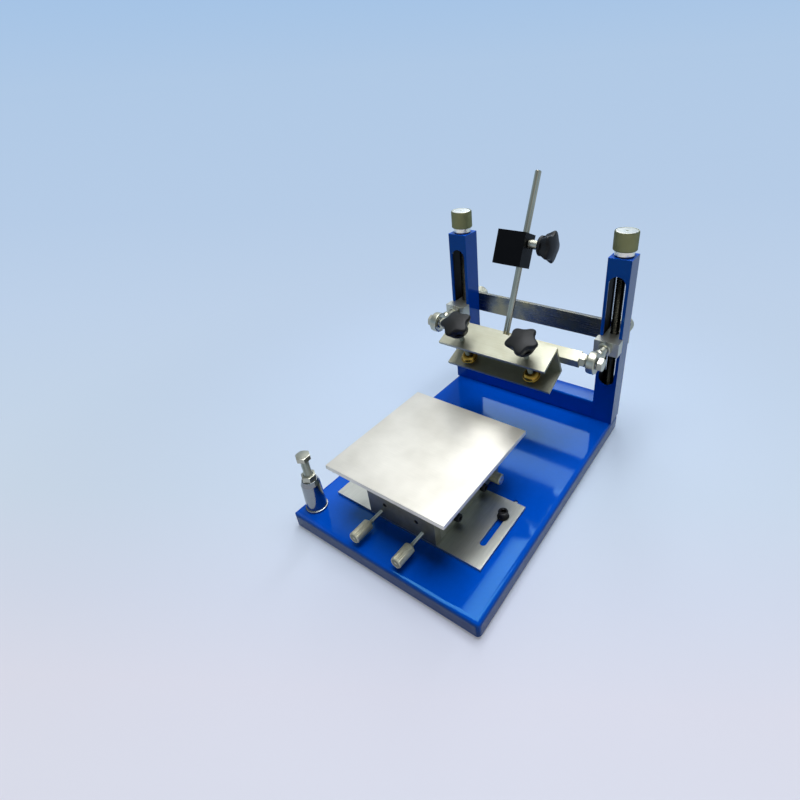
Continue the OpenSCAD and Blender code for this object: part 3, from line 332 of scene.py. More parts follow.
# Cold drawn flat and round bar: polished, with faint drawing lines
# The drawn bar's slate-blue patches are a painted reflection of the blue enamel around it
DRAWN_X = Finish(
    "steel_bar_drawn_across", "polished_steel", "#9C9270", "#4A5C72", roughness=0.26, grain_mm=0.6, bump_mm=0.003,
    patches=0.9, brush=Brush.ALONG_X,
)
DRAWN_Z = Finish(
    "steel_rod_drawn_along", "polished_steel", "#BAB39C", "#97917E", roughness=0.24, grain_mm=0.5, bump_mm=0.003,
    shade=0.14, brush=Brush.ALONG_Z,
)
# Bright nickel over turned steel: nearly a mirror, greyed by handling
NICKEL = Finish(
    "nickel_plated_steel", "polished_steel", "#9A9E9F", "#7C8082", roughness=0.15, grain_mm=1.5, bump_mm=0.002,
    shade=0.08, spread=0.04,
)
# Bolts, nuts and rod ends: pale zinc plate, satin, with dull warm patches
ZINC = Finish(
    "zinc_plated_steel", "zinc_steel", "#C6C5B4", "#9C9A86", roughness=0.36, grain_mm=1.0, shade=0.12,
    patch_mm=12.0,
)
# Studs of the hand screws, and the front adjusters' end faces: zinc plate painted darker, as painted shade
SHADED_ZINC = Finish(
    "zinc_plate_handled", "zinc_steel", "#82826F", "#5F5E4E", roughness=0.34, grain_mm=0.9, shade=0.15,
    patch_mm=10.0,
)
# Bare steel that is kept oiled: dark, with a wet sheen
OILED = Finish(
    "oiled_bare_steel", "zinc_steel", "#59564A", "#2E2C26", roughness=0.3, grain_mm=0.9, bump_mm=0.003, shade=0.15,
    patch_mm=14.0,
)
# Knurled height knobs: nickel with a dull olive cast in the knurls
KNURLED = Finish(
    "knurled_nickel_steel", "knurled_steel", "#8C8A60", "#6C6C48", roughness=0.4, grain_mm=1.2, bump_mm=0.003,
)
# Turned end faces and hubs of the knobs: bright
TURNED = Finish(
    "turned_bright_steel", "knurled_steel", "#F2F0E4", "#D9D7C6", roughness=0.34, grain_mm=0.6, bump_mm=0.003,
    shade=0.06,
)
# Ridged adjuster knobs: zinc plate gone a little olive between the ridges
RIDGED = Finish(
    "ridged_zinc_steel", "zinc_steel", "#CFC9AE", "#A39D84", roughness=0.4, grain_mm=0.8, shade=0.14, patch_mm=8.0,
)
# Inside of the posts: bare tube with mill scale, painted near black as painted shade inside the tube
SCALE = Finish(
    "mill_scale_steel", "blue_enamel", "#0C0C0E", "#141210", metallic=0.0, roughness=0.7, grain_mm=1.5,
    bump_mm=0.01, shade=0.2, gloss=0.2,
)
# Black oxide on hardened cap screws: dark, with a soft sheen
BLACK_OXIDE = Finish(
    "black_oxide_steel", "black_steel", "#1C1D20", "#26241F", metallic=0.6, roughness=0.38, grain_mm=0.9, shade=0.2,
)
# Black paint on the counterweight: flat and a little dusty
BLACK_PAINT = Finish(
    "black_painted_steel", "black_steel", "#020203", "#050506", metallic=0.0, roughness=0.5, grain_mm=1.2,
    bump_mm=0.01, shade=0.2, gloss=0.1,
)
# Moulded black thermoset knobs: a soft gloss with a fine moulded grain
MOULDED = Finish(
    "black_moulded_plastic", "black_plastic", "#1A1B1B", "#242422", metallic=0.0, roughness=0.42, grain_mm=0.8,
    bump_mm=0.005, shade=0.15, gloss=0.2,
)
# Turned brass: deep yellow with brown patches, polished on its dome
BRASS = Finish(
    "turned_brass", "brass", "#B58E3C", "#8A6526", roughness=0.24, grain_mm=0.8, bump_mm=0.003, shade=0.12,
    patch_mm=7.0,
)
# Moulded black rubber: matt
RUBBER = Finish(
    "black_rubber", "rubber", "#18181A", "#222122", metallic=0.0, roughness=0.75, grain_mm=0.8, bump_mm=0.02,
    shade=0.2,
)


def joint(name: str) -> dict:
    """Returns the frame's joint of that name."""
    return next(j for j in frame["joints"] if j["name"] == name)


def axis(name: str) -> Vector:
    """Returns a joint's axis."""
    return Vector(joint(name)["axis"]).normalized()


def point(name: str) -> Vector:
    """Returns a hinge's place."""
    return Vector(joint(name)["pos_m"])


def shift(x: float, y: float, z: float) -> Matrix:
    """Makes the matrix of a plain shift."""
    return Matrix.Translation((x, y, z))


def middle(node: str) -> Vector:
    """Returns the middle of a frame node's box."""
    low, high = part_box(node)
    return (low + high) / 2


def foot_of(node: str) -> Vector:
    """Returns the middle of the underside of a frame node's box."""
    centre = middle(node)
    return Vector((centre.x, centre.y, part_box(node)[0].z))


def spacing(node: str, along: int, diameter: float) -> float:
    """Returns how far apart two round pieces stand, in millimetres, that a node's box just holds."""
    low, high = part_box(node)
    return (high[along] - low[along]) / MM - diameter


def standing(origin: Vector, up: Vector = UP, right: Vector = RIGHT) -> Matrix:
    """Makes the matrix that stands a piece up along an axis.

    Args:
        origin: Where the piece's own origin goes.
        up: Where its Z axis points.
        right: Roughly where its X axis points.

    Returns:
        The placing matrix.
    """
    z = up.normalized()
    y = z.cross(right).normalized()
    x = y.cross(z)
    turn = Matrix((x, y, z)).transposed().to_4x4()
    return Matrix.Translation(origin) @ turn


def at(value: Radius, angle: float) -> float:
    """Returns a radius or height at an angle, whether it is a number or a function."""
    return value(angle) if callable(value) else value


def hexagon(flats: float) -> Callable[[float], float]:
    """Returns the radius by angle of a hexagon, from its width across the flats."""
    sixth = math.pi / 3
    return lambda angle: flats / 2 / math.cos((angle + sixth / 2) % sixth - sixth / 2)


def bar(radius: float, foot: float, top: float, foot_chamfer: float = 0.0, chamfer: float = 0.0) -> list[Station]:
    """Returns the rings of a plain round bar.

    Args:
        radius: Its radius.
        foot: Height of its lower end.
        top: Height of its upper end.
        foot_chamfer: Chamfer at its lower end.
        chamfer: Chamfer at its upper end.

    Returns:
        The rings from the bottom up.
    """
    side = [(radius - foot_chamfer, foot), (radius, foot + foot_chamfer)]
    side += [(radius, top - chamfer), (radius - chamfer, top)]
    return [(0.0, foot), *dict.fromkeys(side), (0.0, top)]


def rim(radius: float, height: float, steps: Steps) -> list[Station]:
    """Returns the rings of an edge, each a step inside the radius and below the height."""
    return [(radius - inwards, height - below) for inwards, below in steps]


def collar(bore: float, radius: float, foot: float, top: float, chamfer: float) -> list[Station]:
    """Returns the section of a ring with chamfered outer edges, from the radius of its bore outwards."""
    return [(bore, foot), *bar(radius, foot, top, chamfer, chamfer)[1:-1], (bore, top)]


def linked(name: str, bm: bmesh.types.BMesh) -> bpy.types.Object:
    """Turns an edited mesh into an object at the origin.

    Args:
        name: The object's name.
        bm: The edited mesh, which is used up.

    Returns:
        The object.
    """
    mesh = bpy.data.meshes.new(name)
    bm.to_mesh(mesh)
    bm.free()
    made = bpy.data.objects.new(name, mesh)
    bpy.context.scene.collection.objects.link(made)
    return made


class Shape:
    """A mesh in the making, in millimetres and in its own place, that takes several closed solids."""

    def __init__(self) -> None:
        """Starts an empty mesh."""
        self.bm = bmesh.new()

    def turned(
        self, stations: Sequence[Station], place: Matrix | None = None, samples: int = FINE, ring: bool = False
    ) -> "Shape":
        """Adds a solid turned about its Z axis.

        Args:
            stations: Radius and height of each ring, from the bottom up, or around the section for a ring.
            place: Where it goes, in millimetres.
            samples: Number of points around.
            ring: Whether the last ring joins the first, as round a bore.

        Returns:
            This shape.
        """
        rows = []
        for radius, height in stations:
            if not callable(radius) and radius == 0:
                rows.append([self.bm.verts.new((0, 0, at(height, 0)))] * samples)
                continue
            row = []
            for i in range(samples):
                angle = 2 * math.pi * i / samples
                r = at(radius, angle)
                row.append(self.bm.verts.new((r * math.cos(angle), r * math.sin(angle), at(height, angle))))
            rows.append(row)
        new = {v for row in rows for v in row}
        pairs = list(zip(rows, rows[1:] + rows[:1])) if ring else list(zip(rows, rows[1:]))
        for low, high in pairs:
            for i in range(samples):
                k = (i + 1) % samples
                corners = list(dict.fromkeys((low[i], low[k], high[k], high[i])))
                if len(corners) > 2:
                    self.bm.faces.new(corners)
        if place is not None:
            bmesh.ops.transform(self.bm, matrix=place, verts=list(new))
        return self

    def piece(self, name: str, place: Matrix | None = None) -> bpy.types.Object:
        """Turns the shape into an object in metres, at the origin.

        Args:
            name: The piece's name.
            place: Where the whole shape goes, in metres, after it is scaled down.

        Returns:
            The object.
        """
        bmesh.ops.transform(self.bm, matrix=(place or Matrix()) @ Matrix.Scale(MM, 4), verts=self.bm.verts)
        bmesh.ops.recalc_face_normals(self.bm, faces=self.bm.faces)
        return linked(name, self.bm)


def copy_of(node: str) -> bpy.types.Object:
    """Copies a frame node's mesh with its points merged and its flat faces made whole.

    Args:
        node: The node to copy.

    Returns:
        The copy, at the origin.
    """
    bm = bmesh.new()
    bm.from_mesh(frame["nodes"][node].data)
    bmesh.ops.remove_doubles(bm, verts=bm.verts, dist=MERGE)
    bmesh.ops.dissolve_limit(bm, angle_limit=FLAT_ANGLE, verts=bm.verts, edges=bm.edges)
    return linked(f"{node}_finished", bm)


def settled(piece: bpy.types.Object) -> bpy.types.Object:
    """Turns a piece's modifiers into its own mesh.

    Args:
        piece: The piece.

    Returns:
        The same object, with no modifier left.
    """
    evaluated = piece.evaluated_get(bpy.context.evaluated_depsgraph_get())
    mesh = bpy.data.meshes.new_from_object(evaluated)
    piece.modifiers.clear()
    piece.data = mesh
    return piece


def rounded(piece: bpy.types.Object, radius: float, segments: int = 3) -> bpy.types.Object:
    """Rounds a piece's sharp edges.

    Args:
        piece: The piece.
        radius: The rounding in millimetres.
        segments: Number of steps across the rounding.

    Returns:
        The same piece, rounded.
    """
    bevel = piece.modifiers.new("edges", "BEVEL")
    bevel.width = radius * MM
    bevel.segments = segments
    bevel.limit_method = "ANGLE"
    bevel.angle_limit = EDGE_ANGLE
    return settled(piece)


def rounded_by(
    piece: bpy.types.Object, rule: Callable[[Vector, Vector], float], segments: int = 4
) -> bpy.types.Object:
    """Rounds each sharp edge by its own radius.

    Args:
        piece: The piece.
        rule: Gives the radius in millimetres from an edge's middle and direction.
        segments: Number of steps across the rounding.

    Returns:
        The same piece, rounded.
    """
    bm = bmesh.new()
    bm.from_mesh(piece.data)
    weights = bm.edges.layers.float.new("bevel_weight_edge")
    sizes = {}
    for edge in bm.edges:
        if len(edge.link_faces) == 2 and edge.calc_face_angle(0) > EDGE_ANGLE:
            a, b = (v.co for v in edge.verts)
            sizes[edge] = rule((a + b) / 2, (b - a).normalized())
    largest = max(sizes.values())
    for edge, size in sizes.items():
        edge[weights] = size / largest
    bm.to_mesh(piece.data)
    bm.free()
    bevel = piece.modifiers.new("edges", "BEVEL")
    bevel.width = largest * MM
    bevel.segments = segments
    bevel.limit_method = "WEIGHT"
    return settled(piece)


def dress(
    piece: bpy.types.Object,
    finish: Finish,
    body: str,
    replaced: Sequence[str] = (),
    tilt: float = 0.0,
    sharp: float = SMOOTH_ANGLE,
) -> bpy.types.Object:
    """Gives a piece its finish, shades it, and makes it ride on its body.

    Args:
        piece: The piece.
        finish: Its finish.
        body: The body it moves with.
        replaced: The frame nodes that it stands for.
        tilt: Turn of the finish's brushing about X.
        sharp: Angle above which an edge stays sharp.

    Returns:
        The piece.
    """
    piece.data.materials.clear()
    piece.data.materials.append(finish.build(tilt))
    piece.data.polygons.foreach_set("use_smooth", [True] * len(piece.data.polygons))
    piece.data.polygons.foreach_set("material_index", [0] * len(piece.data.polygons))
    piece.data.set_sharp_from_angle(angle=sharp)
    # Large flat faces keep their own normal next to the small roundings, so that what they mirror stays straight
    flat = piece.modifiers.new("flat_faces", "WEIGHTED_NORMAL")
    flat.keep_sharp = True
    flat.weight = FLAT_WEIGHT
    settled(piece)
    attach(piece, body)
    if replaced:
        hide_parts(*replaced)
    log.info("%s on %s, %d faces", piece.name, body, len(piece.data.polygons))
    return piece


def refine(node: str, radius: float, finish: Finish, body: str, tilt: float = 0.0) -> None:
    """Dresses a frame node in its own shape, with its edges rounded by a radius in millimetres."""
    dress(rounded(copy_of(node), radius), finish, body, [node], tilt)


class Tree:
    """A Geometry Nodes tree with named inputs, whose result becomes a piece's own mesh."""

    NAME: str
    INPUTS: tuple[tuple[str, str], ...]

    def __init__(self) -> None:
        """Builds the tree with its sockets, its own nodes, Realize Instances and Set Material."""
        self.tree = bpy.data.node_groups.new(self.NAME, "GeometryNodeTree")
        face = self.tree.interface
        face.new_socket("Geometry", in_out="INPUT", socket_type="NodeSocketGeometry")
        self.ids = {
            name: face.new_socket(name, in_out="INPUT", socket_type=kind).identifier
            for name, kind in (*self.INPUTS, ("Finish", "NodeSocketMaterial"))
        }
        face.new_socket("Geometry", in_out="OUTPUT", socket_type="NodeSocketGeometry")
        given = add_node(self.tree, "NodeGroupInput").outputs
        made = self.wired(given)
        real = add_node(self.tree, "GeometryNodeRealizeInstances", {0: made})
        painted = add_node(self.tree, "GeometryNodeSetMaterial", {0: real.outputs[0], "Material": given["Finish"]})
        add_node(self.tree, "NodeGroupOutput", {0: painted.outputs[0]})

    def wired(self, given: bpy.types.NodeOutputs) -> bpy.types.NodeSocket:
        """Adds the tree's own nodes."""
        raise NotImplementedError

    def applied(self, piece: bpy.types.Object, finish: Finish, values: dict) -> bpy.types.Object:
        """Runs the tree on a piece.

        Args:
            piece: The piece.
            finish: Its finish.
            values: The inputs' values by name.

        Returns:
            The same piece, with the result as its mesh.
        """
        modifier = piece.modifiers.new(self.NAME, "NODES")
        modifier.node_group = self.tree
        for name, value in {**values, "Finish": finish.build()}.items():
            modifier[self.ids[name]] = value
        return settled(piece)


def ridges(hand: str, operation: str) -> tuple[tuple, ...]:
    """Returns the steps that give the ridges of the grooves of one hand.

    Args:
        hand: The hand, as the first word of the steps' names.
        operation: How the way around is taken with the way along.

    Returns:
        The steps, as Grooves.STEPS gives them.
    """
    return (
        (f"{hand} hand", operation, "along", "around"),
        (f"{hand} share", "FRACT", f"{hand} hand", 0.0),
        (f"{hand} twice", "MULTIPLY", f"{hand} share", 2.0),
        (f"{hand} slope", "SUBTRACT", f"{hand} twice", 1.0),
        (f"{hand} ridge", "ABSOLUTE", f"{hand} slope", 0.0),
    )


class Grooves(Tree):
    """Cuts helical grooves, crossed ones or straight ones into a band of a turned piece."""

    NAME = "grooves"
    INPUTS = tuple(
        (name, "NodeSocketFloat") for name in ("Low", "High", "Skin", "Starts", "Pitch", "Depth", "Crossed")
    )
    # The groove's depth at a point, step by step: a name, an operation, and the names or numbers that it takes
    STEPS = (
        ("angle", "ARCTAN2", "y", "x"),
        ("turns", "DIVIDE", "angle", 2 * math.pi),
        ("around", "MULTIPLY", "turns", "Starts"),
        ("above", "SUBTRACT", "z", "Low"),
        ("along", "DIVIDE", "above", "Pitch"),
        *ridges("right", "SUBTRACT"),
        *ridges("left", "ADD"),
        ("uncrossed", "SUBTRACT", 1.0, "Crossed"),
        ("second ridge", "MAXIMUM", "left ridge", "uncrossed"),
        ("ridge", "MINIMUM", "right ridge", "second ridge"),
        ("hollow", "SUBTRACT", 1.0, "ridge"),
        ("inwards", "MULTIPLY", "hollow", "Depth"),
        ("push", "MULTIPLY", "inwards", -1.0),
        ("over low", "GREATER_THAN", "z", "Low"),
        ("under high", "LESS_THAN", "z", "High"),
        ("in band", "MULTIPLY", "over low", "under high"),
        ("on skin", "GREATER_THAN", "radius", "Skin"),
        ("chosen", "MULTIPLY", "in band", "on skin"),
    )

    def wired(self, given: bpy.types.NodeOutputs) -> bpy.types.NodeSocket:
        """Adds the nodes that work out each point's groove depth and push the point in.

        Args:
            given: The tree's inputs.

        Returns:
            The grooved geometry.
        """
        tree = self.tree
        place = add_node(tree, "GeometryNodeInputPosition").outputs[0]
        parts = add_node(tree, "ShaderNodeSeparateXYZ", {0: place}).outputs
        flat = add_node(tree, "ShaderNodeCombineXYZ", {0: parts[0], 1: parts[1]}).outputs[0]
        radius = add_node(tree, "ShaderNodeVectorMath", {0: flat}, operation="LENGTH").outputs["Value"]
        known = {name: given[name] for name, _ in self.INPUTS}
        known |= {"x": parts[0], "y": parts[1], "z": parts[2], "radius": radius}
        for name, operation, first, second in self.STEPS:
            known[name] = maths(tree, operation, known.get(first, first), known.get(second, second))
        away = add_node(tree, "ShaderNodeVectorMath", {0: flat}, operation="NORMALIZE").outputs[0]
        offset = add_node(tree, "ShaderNodeVectorMath", {0: away, "Scale": known["push"]}, operation="SCALE")
        return add_node(
            tree,
            "GeometryNodeSetPosition",
            {"Geometry": given["Geometry"], "Selection": known["chosen"], "Offset": offset.outputs[0]},
        ).outputs[0]

    def cut(
        self,
        piece: bpy.types.Object,
        finish: Finish,
        low: float,
        high: float,
        skin: float,
        starts: int,
        pitch: float,
        depth: float,
        crossed: bool = False,
    ) -> bpy.types.Object:
        """Cuts the grooves into a piece that still stands along Z at the origin.

        Args:
            piece: The piece, in metres.
            finish: Its finish.
            low: Height where the band starts, in millimetres as the next sizes are.
            high: Height where the band ends.
            skin: Radius outside which points move.
            starts: Number of grooves around.
            pitch: Height of one groove's step along the axis.
            depth: Depth of the grooves.
            crossed: Whether a second set runs the other way.

        Returns:
            The same piece.
        """
        values = (low * MM, high * MM, skin * MM, float(starts), pitch * MM, depth * MM, float(crossed))
        return self.applied(piece, finish, {name: value for (name, _), value in zip(self.INPUTS, values)})


class Row(Tree):
    """Sets out a row of equal pieces, each one step and one turn on from the last."""

    NAME = "row"
    INPUTS = (("Count", "NodeSocketInt"), ("Step", "NodeSocketVector"), ("Turn", "NodeSocketVector"))

    def wired(self, given: bpy.types.NodeOutputs) -> bpy.types.NodeSocket:
        """Adds the nodes that place the copies.

        Args:
            given: The tree's inputs.

        Returns:
            The copies.
        """
        tree = self.tree
        line = add_node(tree, "GeometryNodeMeshLine", {"Count": given["Count"], "Offset": given["Step"]}, mode="OFFSET")
        index = add_node(tree, "GeometryNodeInputIndex").outputs[0]
        turned = add_node(tree, "ShaderNodeVectorMath", {0: given["Turn"], "Scale": index}, operation="SCALE")
        turn = add_node(tree, "FunctionNodeEulerToRotation", {0: turned.outputs[0]})
        return add_node(
            tree,
            "GeometryNodeInstanceOnPoints",
            {"Points": line.outputs[0], "Instance": given["Geometry"], "Rotation": turn.outputs[0]},
        ).outputs[0]

    def laid(
        self,
        piece: bpy.types.Object,
        finish: Finish,
        step: Sequence[float] = (0.0, 0.0, 0.0),
        turn: Sequence[float] = (0.0, 0.0, 0.0),
        count: int = 2,
    ) -> bpy.types.Object:
        """Repeats a piece at the origin, each copy a step in millimetres and a turn on from the last."""
        values = {"Count": count, "Step": tuple(v * MM for v in step), "Turn": tuple(turn)}
        return self.applied(piece, finish, values)

    def four(self, piece: bpy.types.Object, finish: Finish, node: str, diameter: float) -> bpy.types.Object:
        """Sets a round piece out in the four corners of a node's box.

        Args:
            piece: The piece, in metres, standing at the origin.
            finish: Its finish.
            node: The frame's node.
            diameter: The diameter that touches the box's sides.

        Returns:
            The same piece, now all four.
        """
        self.laid(piece, finish, (spacing(node, 0, diameter), 0, 0))
        self.laid(piece, finish, (0, spacing(node, 1, diameter), 0))
        inset = Vector((diameter, diameter, 0)) / 2 * MM
        return moved(piece, Matrix.Translation(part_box(node)[0] + inset))


GROOVES = Grooves()
ROW = Row()


def band(radius: float, low: float, high: float, step: float) -> list[Station]:
    """Returns the rings of a band that grooves are cut into, at most a step apart."""
    count = max(2, math.ceil((high - low) / step))
    return [(radius, low + (high - low) * i / count) for i in range(count + 1)]


def moved(piece: bpy.types.Object, place: Matrix) -> bpy.types.Object:
    """Moves a piece's mesh to its place and leaves its object at the origin."""
    piece.data.transform(place)
    return piece


def joined(name: str, parts: Sequence[bpy.types.Object]) -> bpy.types.Object:
    """Joins pieces into one.

    Args:
        name: The joined piece's name.
        parts: The pieces, which are used up.

    Returns:
        The joined piece.
    """
    bm = bmesh.new()
    for part in parts:
        bm.from_mesh(part.data)
        bpy.data.objects.remove(part)
    return linked(name, bm)


@dataclass(frozen=True)
class Thread:
    """A right-hand metric thread on a stud or bolt."""

    diameter: float
    pitch: float
    depth: float
    chamfer: float = 0.6
    # Height above a rod's end where the grooves start
    clear: float = 0.66
    # A nut's bore is this much wider than the thread
    nut_gap: float = 0.2

    @property
    def nut_bore(self) -> float:
        """Bore of the nuts that run on it."""
        return self.diameter + self.nut_gap

    def rings(self, low: float, high: float) -> list[Station]:
        """Returns the rings that the thread is cut into, between two heights."""
        return band(self.diameter / 2, low, high, self.pitch / RINGS_PER_PITCH)

    def cut(self, rod: bpy.types.Object, finish: Finish, low: float, high: float) -> bpy.types.Object:
        """Cuts the thread into a rod that stands at the origin, between two heights."""
        return GROOVES.cut(rod, finish, low, high, self.diameter / 2 * CORE, 1, self.pitch, self.depth)

    def made(self, name: str, finish: Finish, length: float, place: Matrix = Matrix()) -> bpy.types.Object:
        """Makes a threaded rod with chamfered ends.

        Args:
            name: The piece's name.
            finish: Its finish.
            length: Its length.
            place: Where its lower end goes, in metres.

        Returns:
            The rod.
        """
        neck, c = self.diameter / 2 - self.chamfer, self.chamfer
        stations = [(0.0, 0.0), (neck, 0.0), *self.rings(c, length - c), (neck, length), (0.0, length)]
        rod = Shape().turned(stations, samples=THREAD_FINE).piece(name)
        return moved(self.cut(rod, finish, self.clear, length - self.clear), place)


class Knurl(Enum):
    """How a knob's grip is cut, as whether a second set of grooves crosses the first."""

    DIAMOND = True
    STRAIGHT = False


@dataclass(frozen=True)
class Knob:
    """A turned knob with a knurled grip and bright turned ends, drawn along Z from its foot to its end face."""

    diameter: float
    length: float
    hub_diameter: float = 0.0
    hub_length: float = 0.0
    knurl: Knurl = Knurl.DIAMOND
    knurl_pitch: float = 1.3
    knurl_depth: float = 0.4
    knurl_over: float = 0.05
    chamfer: float = 0.8
    hub_chamfer: float = 0.5
    face_rim: float = 1.6
    dish_rim: float = 0.6
    dish_depth: float = 0.25
    # The bright disc's section: distance in from its rim, then out from its middle, each with the depth below the face
    disc: Steps = ((0.0, 0.5), (0.0, 0.15), (0.3, 0.02))
    centre_mark: Steps = ((1.5, 0.06), (1.2, 0.5), (0.0, 0.6))

    @property
    def height(self) -> float:
        """Height of the end face above the foot."""
        return self.hub_length + self.length

    def grip(self, name: str, finish: Finish, place: Matrix) -> bpy.types.Object:
        """Makes the knurled body.

        Args:
            name: The piece's name.
            finish: Its finish.
            place: Where the knob's foot goes, in metres.

        Returns:
            The body.
        """
        r, c, foot, top = self.diameter / 2, self.chamfer, self.hub_length, self.height
        neck, dish = r - c, top - self.dish_depth
        starts = round(math.pi * self.diameter / self.knurl_pitch)
        crossed = self.knurl is Knurl.DIAMOND
        pitch = self.knurl_pitch if crossed else STRAIGHT_PITCH * self.length
        step = self.knurl_pitch / RINGS_PER_PITCH if crossed else self.length / STRAIGHT_RINGS
        stations = [(0.0, foot), (neck, foot), *band(r, foot + c, top - c, step)]
        stations += [(neck, top), (neck - self.dish_rim, dish), (0.0, dish)]
        body = Shape().turned(stations, samples=starts * RINGS_PER_PITCH).piece(name)
        low, high = foot + c - self.knurl_over, top - c + self.knurl_over
        GROOVES.cut(body, finish, low, high, neck, starts, pitch, self.knurl_depth, crossed)
        return moved(body, place)

    def ends(self, name: str, place: Matrix) -> bpy.types.Object:
        """Makes the turned end face, and the hub if the knob has one.

        Args:
            name: The piece's name.
            place: Where the knob's foot goes, in metres.

        Returns:
            The ends as one piece.
        """
        top, r = self.height, self.diameter / 2 - self.face_rim
        stations = [(0.0, top - self.disc[0][1]), *rim(r, top, self.disc)]
        stations += [(out, top - below) for out, below in self.centre_mark]
        shape = Shape().turned(stations)
        if self.hub_diameter:
            shape.turned(bar(self.hub_diameter / 2, 0.0, self.hub_length + LAP, self.hub_chamfer))
        return shape.piece(name, place)

    def fitted(
        self, node: str, body: str, finish: Finish, face_finish: Finish, place: Matrix, face: str = "face"
    ) -> None:
        """Makes the knob with its foot at a place, and dresses its grip and its end face for a frame node."""
        dress(self.grip(f"{node}_grip", finish, place), finish, body, [node])
        dress(self.ends(f"{node}_{face}", place), face_finish, body)


@dataclass(frozen=True)
class HexHead:
    """A hexagon bolt head or nut with chamfered corners."""

    flats: float
    height: float
    # The flat crown's width as a share of the flats, and the corners' slope
    crown: float = 0.94
    slope: float = math.tan(math.radians(28))
    bore_lip: float = 0.5
    bore_lead: float = 0.6

    def stations(self, bore: float = 0.0) -> list[Station]:
        """Gives the head's rings, or a nut's if it has a bore.

        Args:
            bore: Diameter of a nut's bore, or 0 for a head.

        Returns:
            The rings, around the section for a nut.
        """
        side = hexagon(self.flats)
        crown = self.flats / 2 * self.crown

        def high(angle: float) -> float:
            """Returns the upper end of a side, cut off at the corners."""
            return self.height - (side(angle) - crown) * self.slope

        def low(angle: float) -> float:
            """Returns the lower end of a side, cut off at the corners."""
            return (side(angle) - crown) * self.slope

        if not bore:
            return [(0.0, 0.0), (side, 0.0), (side, high), (crown, self.height), (0.0, self.height)]
        inner = bore / 2
        lip = inner + self.bore_lip
        rings: list[Station] = [(inner, self.bore_lead), (lip, 0.0), (crown, 0.0), (side, low), (side, high)]
        return rings + [(crown, self.height), (lip, self.height), (inner, self.height - self.bore_lead)]

    def nut(self, bore: float, place: Matrix | None = None, shape: Shape | None = None) -> Shape:
        """Adds the nut to a shape, or starts one, at a place in millimetres."""
        return (shape or Shape()).turned(self.stations(bore), place, HEX_FINE, ring=True)


@dataclass(frozen=True)
class CapScrew:
    """A socket head cap screw, with its knurled head above Z = 0."""

    thread: Thread
    head_diameter: float
    head_height: float
    key: float
    knurl_pitch: float = 0.9
    knurl_depth: float = 0.22
    foot_edge: float = 0.2
    # Heights of the knurl's rings above the foot and below the top, and of its grooves
    knurl_foot: float = 0.7
    knurl_top: float = 0.9
    groove_foot: float = 0.6
    groove_top: float = 0.8
    knurl_rings: int = 3
    groove_fine: int = 4
    # The rim above the knurl: distance in from the side and below the top
    top_rim: Steps = ((0.0, 0.7), (0.2, 0.25), (0.7, 0.0))
    # The socket: its mouth over the key's flats, and its side's and its middle's height as shares of the head
    mouth: float = 1.2
    mouth_depth: float = 0.25
    socket_side: float = 0.45
    socket_middle: float = 0.4
    shank_lap: float = 0.5

    def made(self, name: str, finish: Finish, length: float) -> bpy.types.Object:
        """Makes the screw, standing at the origin.

        Args:
            name: The piece's name.
            finish: Its finish.
            length: Length under the head.

        Returns:
            The screw.
        """
        r, h, edge, key = self.head_diameter / 2, self.head_height, self.foot_edge, hexagon(self.key)
        stations: list[Station] = [(0.0, 0.0), (r - edge, 0.0), (r, edge)]
        stations += band(r, self.knurl_foot, h - self.knurl_top, h / self.knurl_rings)
        stations += rim(r, h, self.top_rim)
        stations += [(self.key / 2 * self.mouth, h), (key, h - self.mouth_depth)]
        stations += [(key, h * self.socket_side), (0.0, h * self.socket_middle)]
        starts = round(math.pi * self.head_diameter / self.knurl_pitch)
        head = Shape().turned(stations, samples=starts * self.groove_fine).piece(f"{name}_head")
        low, high = self.groove_foot, h - self.groove_top
        GROOVES.cut(head, finish, low, high, r * CORE, starts, STRAIGHT_PITCH * h, self.knurl_depth)
        under = shift(0, 0, -length * MM)
        shank = self.thread.made(f"{name}_shank", finish, length + self.shank_lap, under)
        return joined(name, [head, shank])


M4 = Thread(diameter=4.0, pitch=0.7, depth=0.35)
M5 = Thread(diameter=5.0, pitch=0.8, depth=0.4)
M6 = Thread(diameter=6.0, pitch=1.0, depth=0.5)
M8 = Thread(diameter=8.0, pitch=1.25, depth=0.6)
M8_HEAD = HexHead(flats=13.0, height=5.3)
M8_NUT = HexHead(flats=13.0, height=6.5)
M5_CAP = CapScrew(M5, head_diameter=8.5, head_height=5.0, key=4.0)
M6_CAP = CapScrew(M6, head_diameter=10.0, head_height=6.0, key=5.0)


